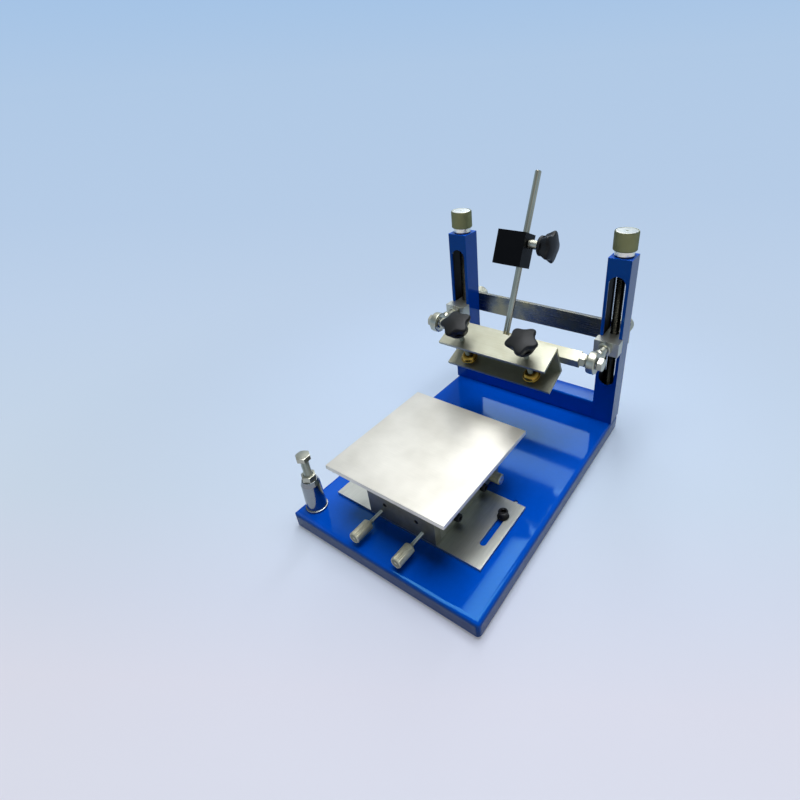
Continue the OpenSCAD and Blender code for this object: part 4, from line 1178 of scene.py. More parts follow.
@dataclass(frozen=True)
class StarKnob:
    """A moulded star knob: blunt lobes with shallow hollows between them, a crowned top and a round hub foot."""

    diameter: float = 36.0
    height: float = 14.0
    hub_height: float = 4.0
    hub_diameter: float = 22.0
    hub_chamfer: float = 0.6
    # Share of the hub's height where the lobes start
    hub_top: float = 0.9
    lobes: int = 5
    # How blunt the lobes are: above 1 they are narrower than their hollows
    blunt: float = 1.35
    bore: float = 6.1
    bore_depth: float = 12.4
    bore_chamfer: float = 0.3
    valley: float = 0.735
    crown: float = 3.2
    fine: int = 180
    # Sizes of the sections up the side, as shares of the full star, and their heights as shares of its height
    sides: Steps = (
        (0.66, 0.0), (0.70, 0.01), (0.75, 0.07), (0.84, 0.28), (0.93, 0.46), (0.985, 0.58), (1.0, 0.64),
    )
    # Sizes of the sections over the top, and how far each lies below the crown
    over: Steps = (
        (0.995, 1.1), (0.975, 0.55), (0.94, 0.18), (0.89, 0.0), (0.7, 0.0), (0.45, 0.0), (0.2, 0.0),
    )

    def outline(self, share: float) -> Callable[[float], float]:
        """Gives the star's radius by angle.

        Args:
            share: Size of this section, as a share of the full star.

        Returns:
            A function of the angle in radians.
        """
        outer = self.diameter / 2 * share
        inner = outer * self.valley

        def radius(angle: float) -> float:
            """Returns the star's radius: 1 at a lobe's middle, 0 at a hollow's, and blunt between."""
            wave = (1 + math.cos(angle * self.lobes)) / 2
            return inner + (outer - inner) * wave**self.blunt

        return radius

    def crowned(self, share: float, below: float) -> Callable[[float], float]:
        """Gives the height by angle of a section over the top.

        Args:
            share: Size of the section, as a share of the full star.
            below: How far it lies below the crown.

        Returns:
            A function of the angle in radians.
        """
        edge = self.outline(share)
        top = self.hub_height + self.height - below
        return lambda angle: top - self.crown * (edge(angle) / self.diameter * 2) ** 2

    def made(self, name: str, place: Matrix, turn: float) -> bpy.types.Object:
        """Makes the knob.

        Args:
            name: The piece's name.
            place: Where its foot goes, in metres.
            turn: Its turn about its own axis, in degrees.

        Returns:
            The knob.
        """
        hub, bore, lead, c = self.hub_diameter / 2, self.bore / 2, self.bore_chamfer, self.hub_chamfer
        stations: list[Station] = [(0.0, self.bore_depth), (bore, self.bore_depth), (bore, lead), (bore + lead, 0.0)]
        stations += [(hub - c, 0.0), (hub, c), (hub, self.hub_height * self.hub_top)]
        stations += [(self.outline(share), self.hub_height + self.height * z) for share, z in self.sides]
        stations += [(self.outline(share), self.crowned(share, below)) for share, below in self.over]
        stations += [(0.0, self.hub_height + self.height)]
        turned = place @ Matrix.Rotation(math.radians(turn), 4, "Z")
        return moved(Shape().turned(stations, samples=self.fine).piece(name), turned)


@dataclass(frozen=True)
class GrubScrew:
    """A headless screw with a hexagon socket, which opens at Z = 0."""

    thread: Thread
    key: float
    key_depth: float
    chamfer: float = 0.5
    clear: float = 0.6
    mouth_depth: float = 0.3
    # The socket's mouth as a share of the key's flats
    mouth: float = 0.62

    def made(self, name: str, finish: Finish, length: float) -> bpy.types.Object:
        """Makes the screw, standing at the origin.

        Args:
            name: The piece's name.
            finish: Its finish.
            length: Its length.

        Returns:
            The screw.
        """
        c, key = self.chamfer, hexagon(self.key)
        neck = self.thread.diameter / 2 - c
        stations: list[Station] = [(0.0, self.key_depth), (key, self.key_depth), (key, self.mouth_depth)]
        stations += [(self.key * self.mouth, 0.0), (neck, 0.0), *self.thread.rings(c, length - c)]
        stations += [(neck, length), (0.0, length)]
        screw = Shape().turned(stations, samples=SMALL_FINE).piece(name)
        return self.thread.cut(screw, finish, self.clear, length - self.clear)


@dataclass
class BasePan:
    """The folded steel pan with its rubber feet and their screws."""

    bend: float = 1.7
    bend_steps: int = 5
    # The outer edges lie this near the pan's sides
    side_reach: float = 1.5
    edge: float = 0.6
    sheet: float = 2.0
    foot_diameter: float = 14.0
    foot_height: float = 3.0
    foot_rim: Steps = ((0.8, 0.0), (0.2, -0.3), (0.0, -0.9))
    foot_bore: float = 4.8
    recess_diameter: float = 8.0
    recess_depth: float = 1.5
    head_diameter: float = 7.0
    head_height: float = 1.0
    head_chamfer: float = 0.5
    nut: HexHead = HexHead(flats=7.0, height=3.0)
    thread_out: float = 1.0

    def build(self) -> None:
        """Makes the pan, the feet and the foot screws."""
        dress(self._pan(), ENAMEL, "base", ["base_pan"])
        screw = self._screw()
        for piece, finish, node in ((self._foot(), RUBBER, "rubber_feet"), (screw, ZINC, "foot_screws")):
            dress(ROW.four(piece, finish, "rubber_feet", self.foot_diameter), finish, "base", [node])

    def _pan(self) -> bpy.types.Object:
        """Makes the pan: round bends along the top, slightly rounded lips below."""
        low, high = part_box("base_pan")

        def rule(place: Vector, way: Vector) -> float:
            """Returns an edge's rounding: the pan's outer edges only, and more on top."""
            at_side = min(place.x - low.x, high.x - place.x, place.y - low.y, high.y - place.y) < self.side_reach * MM
            if not at_side or abs(way.z) > LEVEL:
                return 0.0
            return self.bend if place.z > high.z - NEAR * MM else self.edge

        return rounded_by(copy_of("base_pan"), rule, self.bend_steps)

    def _foot(self) -> bpy.types.Object:
        """Makes one foot with the recess for its screw's head."""
        r, inner, bore, top = self.foot_diameter / 2, self.recess_diameter / 2, self.foot_bore / 2, self.foot_height
        section = [(bore, top), (bore, self.recess_depth), (inner, self.recess_depth), (inner, 0.0)]
        section += [*rim(r, 0.0, self.foot_rim), (r, top)]
        return Shape().turned(section, samples=SMALL_FINE, ring=True).piece("rubber_feet_finished")

    def _screw(self) -> bpy.types.Object:
        """Makes one foot screw with its nut on top of the pan's flange."""
        seat, nut_foot = self.recess_depth, self.foot_height + self.sheet
        head = Shape().turned(bar(self.head_diameter / 2, seat - self.head_height, seat, self.head_chamfer))
        self.nut.nut(M4.nut_bore, shift(0, 0, nut_foot), head)
        length = nut_foot + self.nut.height + self.thread_out - seat
        shank = M4.made("foot_shank", ZINC, length, shift(0, 0, seat * MM))
        return joined("foot_screws_finished", [head.piece("foot_head"), shank])


@dataclass
class Posts:
    """Both slotted posts, the cross tube and the bushes."""

    corner: float = 2.2
    # The outer corners lie this near the tube's sides
    corner_reach: float = 1.0
    slot_edge: float = 0.5
    tube_edge: float = 0.2
    bush_edge: float = 0.25
    wall: float = 2.0

    def build(self) -> None:
        """Makes the posts, the tube between them and the bushes."""
        for side in Side:
            self._tube(f"{side.word}_post", 2, self.slot_edge)
        self._tube("cross_tube", 0, self.tube_edge)
        for node in ("top_bushes", "foot_bushes"):
            refine(node, self.bush_edge, BRASS, "base")

    def _tube(self, node: str, along: int, edge: float) -> None:
        """Makes a square tube: round outer corners, and bare steel inside, painted near black as shade.

        Args:
            node: The frame's node.
            along: Which axis it runs along.
            edge: Rounding of its other edges.
        """
        low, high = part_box(node)
        centre, half = (low + high) / 2, (high - low) / 2
        across = [i for i in range(3) if i != along]

        def rule(place: Vector, way: Vector) -> float:
            """Returns an edge's rounding: more on the tube's outer corners."""
            at_corner = all(abs(place[i] - centre[i]) > half[i] - self.corner_reach * MM for i in across)
            return self.corner if abs(way[along]) > ALONG and at_corner else edge

        tube = dress(rounded_by(copy_of(node), rule), ENAMEL, "base", [node])
        # The inside faces get bare steel painted near black: painted shade inside the tube
        tube.data.materials.append(SCALE.build())
        inner = [half[i] - (self.wall - NEAR) * MM for i in range(3)]
        for face in tube.data.polygons:
            inside = all(abs(face.center[i] - centre[i]) < inner[i] for i in across)
            face.material_index = int(inside and high[along] - face.center[along] > NEAR * MM)


@dataclass
class Lift:
    """The lift screws with their height knobs and stop collars."""

    knob: Knob = Knob(diameter=25.0, length=19.5, hub_diameter=20.5, hub_length=5.3)
    thread: Thread = Thread(diameter=10.0, pitch=2.0, depth=1.0, chamfer=0.8, clear=1.0)
    pilot_diameter: float = 6.0
    pilot_length: float = 8.0
    journal_diameter: float = 8.0
    chamfer: float = 0.4
    collar_edge: float = 0.4

    def build(self) -> None:
        """Makes both lift screws."""
        for side in Side:
            body, knob = f"{side.word}_lift_screw", f"{side.word}_height_knob"
            seat = point(f"{side.word}_lift_turn")
            foot = standing(Vector((seat.x, seat.y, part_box(knob)[0].z)))
            self.knob.fitted(knob, body, KNURLED, TURNED, foot, "ends")
            self._screw(side, body)
            refine(f"{side.word}_screw_collar", self.collar_edge, ZINC, body)

    def _screw(self, side: Side, body: str) -> None:
        """Makes a lift screw with its thread, pilot and journal.

        Args:
            side: Which side it is on.
            body: The body it turns with.
        """
        node = f"{side.word}_lead_screw"
        low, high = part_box(node)
        start, shoulder = self.pilot_length, (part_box(f"{side.word}_screw_collar")[0].z - low.z) / MM
        c, clear = self.thread.chamfer, self.thread.clear
        neck = self.thread.diameter / 2 - c
        stations = bar(self.pilot_diameter / 2, 0.0, start, self.chamfer)[:-1]
        stations += [(neck, start), *self.thread.rings(start + c, shoulder - c), (neck, shoulder)]
        stations += bar(self.journal_diameter / 2, shoulder, (high.z - low.z) / MM, 0.0, self.chamfer)[1:]
        rod = Shape().turned(stations, samples=SMALL_FINE).piece(f"{node}_threaded")
        self.thread.cut(rod, OILED, start + clear, shoulder - clear)
        dress(moved(rod, Matrix.Translation(foot_of(node))), OILED, body, [node])


@dataclass
class Carriage:
    """The two carriage blocks, the tie bar behind the posts, the rod ends and the lock knobs."""

    block_edge: float = 0.5
    bar_edge: float = 0.4
    lock_knob: Knob = Knob(diameter=19.5, length=22.0, knurl_pitch=1.2)
    stud_lap: float = 1.0
    ring_diameter: float = 24.0
    ring_width: float = 9.0
    ring_rim: Steps = ((1.4, 0.0), (0.4, 0.6), (0.0, 1.6))
    ball_diameter: float = 15.9
    # Half way out of its middle the socket is this share of the ball wide, and a flat land lies around its mouth
    socket_share: float = 0.96
    land: float = 1.2
    neck_diameter: float = 12.0
    neck_start: float = 10.0
    neck_reach: float = 20.0
    neck_chamfer: float = 0.5
    # The neck's flare out of the ring's width and into its own radius
    flare_foot: Steps = ((0.5, -0.5), (0.1, -1.6))
    flare_top: Steps = ((1.0, -3.0), (0.2, -3.8), (0.0, -4.6))

    def build(self) -> None:
        """Makes the carriage and what is screwed into it."""
        for side in Side:
            refine(f"{side.word}_carriage_block", self.block_edge, MILLED, "carriage")
            self._rod_end(side)
            self._lock_knob(side)
        refine("rear_tie_bar", self.bar_edge, DRAWN_X, "carriage")
        self._nuts()

    def _rod_end(self, side: Side) -> None:
        """Makes a rod end with its round ring, waisted neck and threaded shank.

        Args:
            side: Which side it is on.
        """
        node, pivot = f"{side.word}_rod_end", point("clamp_swing")
        centre = Vector((middle(node).x, pivot.y, pivot.z))
        eye = self._eye().piece(f"{node}_eye", standing(centre, RIGHT, UP))
        neck = self._neck().piece(f"{node}_neck", standing(centre, BACK))
        length = (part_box(node)[1].y - centre.y) / MM - self.neck_reach
        shank = M8.made(f"{node}_shank", ZINC, length, standing(centre + BACK * (self.neck_reach * MM), BACK))
        dress(joined(f"{node}_finished", [eye, neck, shank]), ZINC, "carriage", [node])

    def _eye(self) -> Shape:
        """Makes the ring with its spherical socket."""
        r, w, socket = self.ring_diameter / 2, self.ring_width / 2, self.ball_diameter / 2
        mouth = math.sqrt(socket**2 - w**2)
        half = [(socket, 0.0), (socket * self.socket_share, w / 2), (mouth, w), (mouth + self.land, w)]
        half += rim(r, w, self.ring_rim)
        return Shape().turned(half[:0:-1] + [(radius, -height) for radius, height in half], ring=True)

    def _neck(self) -> Shape:
        """Makes the neck that flares from the ring to the shank's seat."""
        r, w, n, c = self.ring_diameter / 2, self.ring_width / 2, self.neck_diameter / 2, self.neck_chamfer
        start, reach = self.neck_start, self.neck_reach
        stations = [(0.0, start), (w - c, start), *rim(w, r, self.flare_foot), *rim(n, r, self.flare_top)]
        return Shape().turned(stations + [(n, reach - c), (n - c, reach), (0.0, reach)])

    def _lock_knob(self, side: Side) -> None:
        """Makes a lock knob with its stud, behind the tie bar.

        Args:
            side: Which side it is on.
        """
        node, body = f"{side.word}_lock_knob", f"{side.word}_rear_lock"
        low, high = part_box(node)
        seat = point(f"{side.word}_rear_lock_turn")
        foot = high.y - self.lock_knob.length * MM
        self.lock_knob.fitted(node, body, ZINC, TURNED, standing(Vector((seat.x, foot, seat.z)), BACK))
        place = standing(Vector((seat.x, low.y, seat.z)), BACK)
        dress(M6.made(f"{node}_stud", ZINC, (foot - low.y) / MM + self.stud_lap, place), ZINC, body)

    def _nuts(self) -> None:
        """Makes the lock nuts of both rod ends."""
        low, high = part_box("rod_end_nuts")
        reach = high.x - hexagon(M8_NUT.flats)(HEX_CORNER) * MM
        nuts = M8_NUT.nut(M8.nut_bore).piece("rod_end_nuts_finished")
        ROW.laid(nuts, ZINC, (2 * reach / MM, 0, 0))
        place = standing(Vector((-reach, low.y, (low.z + high.z) / 2)), BACK)
        dress(moved(nuts, place), ZINC, "carriage", ["rod_end_nuts"])


@dataclass(frozen=True)
class ClampPlace:
    """The clamp's own place: the pivot axis along X and the clamp's normal along Z."""

    pivot: Vector
    normal: Vector

    @property
    def tilt(self) -> float:
        """The clamp's lean about X."""
        return math.atan2(-self.normal.y, self.normal.z)

    @property
    def matrix(self) -> Matrix:
        """The matrix from the clamp's place to the row's."""
        return standing(self.pivot, self.normal)


@dataclass
class Clamp:
    """The pivot bar, the clamp channel and its two screws with brass pads."""

    place: ClampPlace
    bar_edge: float = 0.5
    channel_bend: float = 1.6
    channel_edge: float = 0.3
    # In the clamp's own place, the channel's outer bends lie in front of the first and outside the second
    bend_back: float = -8.0
    bend_outside: float = 19.5
    washer_face: float = 11.8
    washer_face_height: float = 0.4
    washer_diameter: float = 13.0
    washer_height: float = 1.0
    washer_chamfer: float = 0.3
    thread_in: float = 20.0
    star: StarKnob = StarKnob()
    star_turns: tuple[float, float] = (52.0, 68.0)
    star_foot: float = 33.5
    stud_tip: float = -9.4
    pad_diameter: float = 19.6
    pad_rim: float = 3.0
    pad_edge: Steps = ((0.6, 0.0), (0.0, -0.6))
    pad_rim_edge: Steps = ((0.0, 0.5), (0.5, 0.0), (1.0, 0.0))
    pad_crown: float = 5.0
    pad_steps: int = 10
    pad_foot: float = -13.5
    # The dome's foot lies this far inside the rim, and its top around the stud is a ring of the second radius
    dome_inset: float = 1.2
    dome_neck: float = 4.3
    stud_lead: float = 0.3
    stud_floor: float = 1.0
    cap_seat: float = -10.0
    cap_length: float = 9.0

    def build(self) -> None:
        """Makes the clamp's fixed pieces and both clamp screws."""
        refine("pivot_bar", self.bar_edge, BRUSHED_X, "clamp", self.place.tilt)
        self._channel()
        self._bolts()
        dress(copy_of("rod_end_balls"), NICKEL, "clamp", ["rod_end_balls"])
        self._cap_screws()
        for side, turn in zip(Side, self.star_turns):
            self._pad(side)
            self._screw(side, turn)

    def _channel(self) -> None:
        """Makes the bent channel: round outer bends, slightly rounded cut edges."""
        inverse = self.place.matrix.inverted()

        def rule(place: Vector, way: Vector) -> float:
            """Returns an edge's rounding: more on the channel's outer bends."""
            local = inverse @ place / MM
            bend = abs(way.x) > ALONG and local.y > self.bend_back and abs(local.z) > self.bend_outside
            return self.channel_bend if bend else self.channel_edge

        channel = rounded_by(copy_of("clamp_channel"), rule)
        dress(channel, BRUSHED_X, "clamp", ["clamp_channel"], self.place.tilt)

    def _bolts(self) -> None:
        """Makes the pivot bolts, and the nuts and washers inside the rod ends."""
        inner, bar_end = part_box("pivot_bolts")[1].x / MM - M8_HEAD.height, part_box("pivot_bar")[1].x / MM
        at_head, at_bar = standing(RIGHT * inner, RIGHT, UP), standing(RIGHT * bar_end, RIGHT, UP)
        head = Shape().turned(M8_HEAD.stations(), at_head, HEX_FINE)
        head.turned(bar(self.washer_face / 2, 0.0, self.washer_face_height), at_head)
        start = standing(RIGHT * (bar_end - self.thread_in) * MM, RIGHT)
        shank = M8.made("pivot_shank", ZINC, inner - bar_end + self.thread_in, start)
        bolts = joined("pivot_bolts_finished", [head.piece("pivot_head"), shank])
        low, high = M8_NUT.height, M8_NUT.height + self.washer_height
        nuts = M8_NUT.nut(M8.nut_bore, at_bar)
        nuts.turned(collar(M8_BORE, self.washer_diameter / 2, low, high, self.washer_chamfer), at_bar, ring=True)
        for piece, node in ((bolts, "pivot_bolts"), (nuts.piece("pivot_nuts_finished"), "pivot_nuts")):
            ROW.laid(piece, ZINC, turn=(0, 0, math.pi))
            dress(moved(piece, self.place.matrix), ZINC, "clamp", [node])

    def _cap_screws(self) -> None:
        """Makes the two cap screws that hold the channel to the bar."""
        apart = spacing("channel_screws", 0, M5_CAP.head_diameter)
        screws = M5_CAP.made("channel_screws_finished", BLACK_OXIDE, self.cap_length)
        ROW.laid(screws, BLACK_OXIDE, (apart, 0, 0))
        first = standing(Vector((-apart / 2, self.cap_seat, 0)) * MM, -BACK)
        dress(moved(screws, self.place.matrix @ first), BLACK_OXIDE, "clamp", ["channel_screws"])

    def _along_screw(self, side: Side, height: float) -> Matrix:
        """Gives a place on a clamp screw's axis.

        Args:
            side: Which side the screw is on.
            height: Height above the clamp's middle plane, in millimetres.

        Returns:
            The placing matrix.
        """
        seat, normal = point(f"{side.word}_clamp_turn"), self.place.normal
        above = (seat - self.place.pivot).dot(normal) / MM
        return standing(seat + normal * (height - above) * MM, normal)

    def _pad(self, side: Side) -> None:
        """Makes a brass pad: a flat rim and a round dome around the stud's tip.

        Args:
            side: Which side it is on.
        """
        r, low, top, neck = self.pad_diameter / 2, self.pad_rim, self.pad_rim + self.pad_crown, self.dome_neck
        stations: list[Station] = [(0.0, 0.0), *rim(r, 0.0, self.pad_edge), *rim(r, low, self.pad_rim_edge)]
        for i in range(1, self.pad_steps + 1):
            turn = math.pi / 2 * i / self.pad_steps
            across = (r - self.dome_inset - neck) * math.cos(turn)
            stations.append((neck + across, low + self.pad_crown * math.sin(turn)))
        stations += [(M6_BORE + self.stud_lead, top), (M6_BORE, top - self.stud_lead)]
        stations += [(M6_BORE, low + self.stud_floor), (0.0, low + self.stud_floor)]
        pad = Shape().turned(stations).piece(f"{side.word}_clamp_pad_domed", self._along_screw(side, self.pad_foot))
        dress(pad, BRASS, f"{side.word}_pad", [f"{side.word}_clamp_pad"])

    def _screw(self, side: Side, turn: float) -> None:
        """Makes a clamp stud and its star knob.

        Args:
            side: Which side it is on.
            turn: The star's turn about its own axis, in degrees.
        """
        body = f"{side.word}_clamp_screw"
        length = self.star_foot + self.star.bore_depth - self.stud_tip - SHY
        # The stud's darker zinc is painted shade
        stud = M6.made(f"{side.word}_clamp_stud_threaded", SHADED_ZINC, length, self._along_screw(side, self.stud_tip))
        dress(stud, SHADED_ZINC, body, [f"{side.word}_clamp_stud"])
        foot = self._along_screw(side, self.star_foot)
        knob = self.star.made(f"{side.word}_clamp_knob_moulded", foot, turn)
        dress(knob, MOULDED, body, [f"{side.word}_clamp_knob"])


@dataclass
class Counterweight:
    """The counterweight rod, its sliding block and the lock screw."""

    rod_diameter: float = 7.0
    rod_chamfer: float = 0.6
    block_edge: float = 0.8
    star: StarKnob = StarKnob()
    star_turn: float = 64.0
    collar_start: float = 6.5
    collar_diameter: float = 10.0
    collar_length: float = 13.0
    collar_chamfer: float = 0.5

    def build(self) -> None:
        """Makes the rod, the block and the lock screw."""
        refine("counterweight_block", self.block_edge, BLACK_PAINT, "counterweight")
        along, seat = axis("counterweight_slide"), point("counterweight_lock_turn")
        on_line = Vector((middle("counterweight_rod").x, seat.y, seat.z))
        self._rod(on_line, along)
        self._lock(on_line, along)

    def _rod(self, on_line: Vector, along: Vector) -> None:
        """Makes the rod.

        Args:
            on_line: A point on its axis.
            along: Its axis.
        """
        low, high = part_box("counterweight_rod")
        r, c = self.rod_diameter / 2, self.rod_chamfer
        lean = r * MM * abs(along.y)
        top, foot = (high.z - lean - on_line.z) / along.z, (low.z + lean - on_line.z) / along.z
        rod = Shape().turned(bar(r, 0.0, (top - foot) / MM, 0.0, c))
        made = rod.piece("counterweight_rod_finished", standing(on_line + along * foot, along))
        dress(made, DRAWN_Z, "clamp", ["counterweight_rod"], math.atan2(-along.y, along.z))

    def _lock(self, on_line: Vector, along: Vector) -> None:
        """Makes the lock stud with its collar, and the star knob.

        Args:
            on_line: The point where the stud meets the rod.
            along: The rod's axis.
        """

        def out(distance: float) -> Matrix:
            """Returns a place on the stud's axis, out from the rod."""
            return standing(on_line + RIGHT * distance * MM, RIGHT, along)

        start, foot = self.rod_diameter / 2 + SHY, self.collar_start + self.collar_length
        stud = M6.made("counterweight_stud", ZINC, foot + self.star.bore_depth - start - SHY, out(start))
        section = collar(M6_BORE, self.collar_diameter / 2, 0.0, self.collar_length, self.collar_chamfer)
        ring = Shape().turned(section, ring=True).piece("counterweight_collar", out(self.collar_start))
        lock = joined("counterweight_lock_stud", [stud, ring])
        dress(lock, ZINC, "counterweight_lock", ["counterweight_stud"])
        knob = self.star.made("counterweight_knob_moulded", out(foot), self.star_turn)
        dress(knob, MOULDED, "counterweight_lock", ["counterweight_knob"])


@dataclass
class FrameRest:
    """The pillar with the adjustable bolt that carries the screen frame's front corner."""

    ring_diameter: float = 23.0
    ring_height: float = 2.5
    low_diameter: float = 20.5
    high_diameter: float = 19.0
    shoulder: float = 33.0
    height: float = 38.0
    top_diameter: float = 15.0
    bore_lead: float = 0.5
    screw_edge: float = 0.3
    shank_lap: float = 0.8
    # Above this angle the pillar's turned edges stay sharp
    sharp: float = math.radians(40)
    # The edges of the foot ring, of the body above it, of the shoulder and of the top
    ring_foot: Steps = ((0.3, 0.0), (0.0, -0.3))
    ring_rim: Steps = ((0.0, 0.8), (0.3, 0.2), (0.8, 0.0))
    body_foot: Steps = ((-0.1, 0.0), (0.1, -0.3))
    shoulder_rim: Steps = ((0.0, 0.4), (0.2, -0.1))
    top_rim: Steps = ((-0.3, 0.3), (0.1, 0.0))

    def build(self) -> None:
        """Makes the pillar, its lock nut, the bolt and the screw below."""
        foot = foot_of("rest_pillar")
        pillar = self._pillar().piece("rest_pillar_turned", standing(foot))
        dress(pillar, NICKEL, "base", ["rest_pillar"], sharp=self.sharp)
        seat = standing(Vector((foot.x, foot.y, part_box("rest_lock_nut")[0].z)))
        dress(M8_NUT.nut(M8.nut_bore).piece("rest_lock_nut_finished", seat), ZINC, "rest_nut", ["rest_lock_nut"])
        low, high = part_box("rest_bolt")
        start, under = (Vector((foot.x, foot.y, z)) for z in (low.z, high.z - M8_HEAD.height * MM))
        shank = M8.made("rest_shank", ZINC, (under.z - start.z) / MM + self.shank_lap, standing(start))
        head = Shape().turned(M8_HEAD.stations(), samples=HEX_FINE).piece("rest_head", standing(under))
        dress(joined("rest_bolt_finished", [head, shank]), ZINC, "rest_bolt", ["rest_bolt"])
        refine("pillar_screw", self.screw_edge, BLACK_OXIDE, "base")

    def _pillar(self) -> Shape:
        """Makes the pillar: foot ring, slightly tapered body and coned top."""
        ring = self.ring_diameter / 2
        section = [
            (M8_BORE, 0.0),
            *rim(ring, 0.0, self.ring_foot),
            *rim(ring, self.ring_height, self.ring_rim),
            *rim(self.low_diameter / 2, self.ring_height, self.body_foot),
            *rim(self.high_diameter / 2, self.shoulder, self.shoulder_rim),
            *rim(self.top_diameter / 2, self.height, self.top_rim),
            (M8_BORE + self.bore_lead, self.height),
            (M8_BORE, self.height - self.bore_lead),
        ]
        return Shape().turned(section, ring=True)


@dataclass
class SlidePlate:
    """The slotted slide plate with its two cap screws, washers and nuts."""

    edge: float = 0.35
    washer_diameter: float = 12.0
    washer_chamfer: float = 0.2
    nut: HexHead = HexHead(flats=10.0, height=5.0)

    def build(self) -> None:
        """Makes the plate and its fasteners."""
        refine("slide_plate", self.edge, BRUSHED_Y, "plate_slide")
        low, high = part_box("slide_bolts")
        inset = M6_CAP.head_diameter / 2 * MM
        seat = high.z - M6_CAP.head_height * MM
        bolts = M6_CAP.made("slide_bolts_finished", BLACK_OXIDE, (seat - low.z) / MM)
        washer_low, washer_high = (corner.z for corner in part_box("slide_washers"))
        thickness = (washer_high - washer_low) / MM
        section = collar(M6_BORE, self.washer_diameter / 2, 0.0, thickness, self.washer_chamfer)
        washer = Shape().turned(section, ring=True)
        nut = self.nut.nut(2 * M6_BORE)
        for piece, finish, node, height in (
            (bolts, BLACK_OXIDE, "slide_bolts", seat),
            (washer.piece("slide_washers_finished"), BLACK_OXIDE, "slide_washers", washer_low),
            (nut.piece("slide_nuts_finished"), ZINC, "slide_nuts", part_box("slide_nuts")[0].z),
        ):
            ROW.laid(piece, finish, (spacing("slide_bolts", 0, M6_CAP.head_diameter), 0, 0))
            dress(moved(piece, shift(low.x + inset, (low.y + high.y) / 2, height)), finish, "base", [node])


@dataclass
class Stage:
    """The registration stage: its frame, cross slide, block and adjusters."""

    bar_edge: float = 0.4
    pad_edge: float = 0.2
    front_knob: Knob = Knob(
        diameter=11.5, length=20.5, knurl=Knurl.STRAIGHT, knurl_pitch=1.5, knurl_depth=0.35, face_rim=1.2
    )
    side_knob: Knob = replace(front_knob, length=12.0)
    grub: GrubScrew = GrubScrew(M5, key=2.5, key_depth=3.0)
    pin_diameter: float = 3.0
    pin_length: float = 7.2
    pin_head: float = 6.0
    pin_head_length: float = 1.0
    neck_length: float = 3.6
    # The screws, pins and knobs of an adjuster lap over each other by this much
    lap: float = 1.0

    def build(self) -> None:
        """Makes the stage's pieces."""
        # The front bar's finish is painted shade: aluminium darkened where the platen's edge shades it
        for node, finish in (("stage_front_bar", SHADE_UNDER_PLATEN), ("stage_rails", BRUSHED_X), ("stage_rear_bar", BRUSHED_X)):
            refine(node, self.bar_edge, finish, "plate_slide")
        self._lock_screws()
        self._stop_screws()
        for node in ("cross_slide", "stage_block"):
            refine(node, self.bar_edge, MILLED, node)
        refine("side_thrust_pad", self.pad_edge, BRASS, "side_pad")
        for side in Side:
            self._front_adjuster(side)
        self._side_adjuster()

    def _lock_screws(self) -> None:
        """Makes the two cap screws in the right rail."""
        low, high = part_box("stage_lock_screws")
        inset = M5_CAP.head_diameter / 2 * MM
        seat = high.x - M5_CAP.head_height * MM
        screws = M5_CAP.made("stage_lock_screws_finished", BLACK_OXIDE, (seat - low.x) / MM)
        ROW.laid(screws, BLACK_OXIDE, (spacing("stage_lock_screws", 1, M5_CAP.head_diameter), 0, 0))
        moved(screws, standing(Vector((seat, low.y + inset, (low.z + high.z) / 2)), RIGHT, BACK))
        dress(screws, BLACK_OXIDE, "plate_slide", ["stage_lock_screws"])

    def _stop_screws(self) -> None:
        """Makes the two grub screws in the front bar."""
        low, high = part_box("stage_stop_screws")
        inset = self.grub.thread.diameter / 2 * MM
        screws = self.grub.made("stage_stop_screws_finished", BLACK_OXIDE, (high.y - low.y) / MM)
        ROW.laid(screws, BLACK_OXIDE, (spacing("stage_stop_screws", 0, self.grub.thread.diameter), 0, 0))
        moved(screws, standing(Vector((low.x + inset, low.y, (low.z + high.z) / 2)), BACK))
        dress(screws, BLACK_OXIDE, "plate_slide", ["stage_stop_screws"])

    def _front_adjuster(self, side: Side) -> None:
        """Makes a front adjuster: ridged knob, threaded screw and pin.

        Args:
            side: Which side it is on.
        """
        node = f"{side.word}_adjuster"
        low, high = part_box(node)
        seat = point(f"{side.word}_adjuster_turn")
        foot = Vector((seat.x, low.y, seat.z))
        length, total, lap = self.front_knob.length, (high.y - low.y) / MM, self.lap
        # The knob's end face takes the zinc that is painted darker as shade
        self.front_knob.fitted(node, node, RIDGED, SHADED_ZINC, standing(foot + BACK * length * MM, -BACK))
        start = standing(foot + BACK * (length - lap) * MM, BACK)
        screw = M4.made(f"{node}_thread", ZINC, total - length - self.pin_length + lap, start)
        pin, head = total - self.pin_length - lap, total - self.pin_head_length
        tail = Shape().turned(bar(self.pin_diameter / 2, pin, head)[:-1] + bar(self.pin_head / 2, head, total)[1:])
        dress(joined(f"{node}_screw", [screw, tail.piece(f"{node}_tail", standing(foot, BACK))]), ZINC, node)

    def _side_adjuster(self) -> None:
        """Makes the side adjuster."""
        node = "side_adjuster"
        low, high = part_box(node)
        seat = point("side_adjuster_turn")
        foot = Vector((high.x - self.side_knob.length * MM, seat.y, seat.z))
        self.side_knob.fitted(node, node, RIDGED, TURNED, standing(foot, RIGHT, UP))
        length = (foot.x - low.x) / MM - self.neck_length
        screw = M4.made(f"{node}_thread", ZINC, length + self.lap, standing(foot - RIGHT * length * MM, RIGHT))
        tip = Shape().turned(bar(self.pin_diameter / 2, 0.0, self.neck_length + self.lap))
        tail = tip.piece(f"{node}_tip", standing(Vector((low.x, seat.y, seat.z)), RIGHT))
        dress(joined(f"{node}_screw", [screw, tail]), ZINC, node)


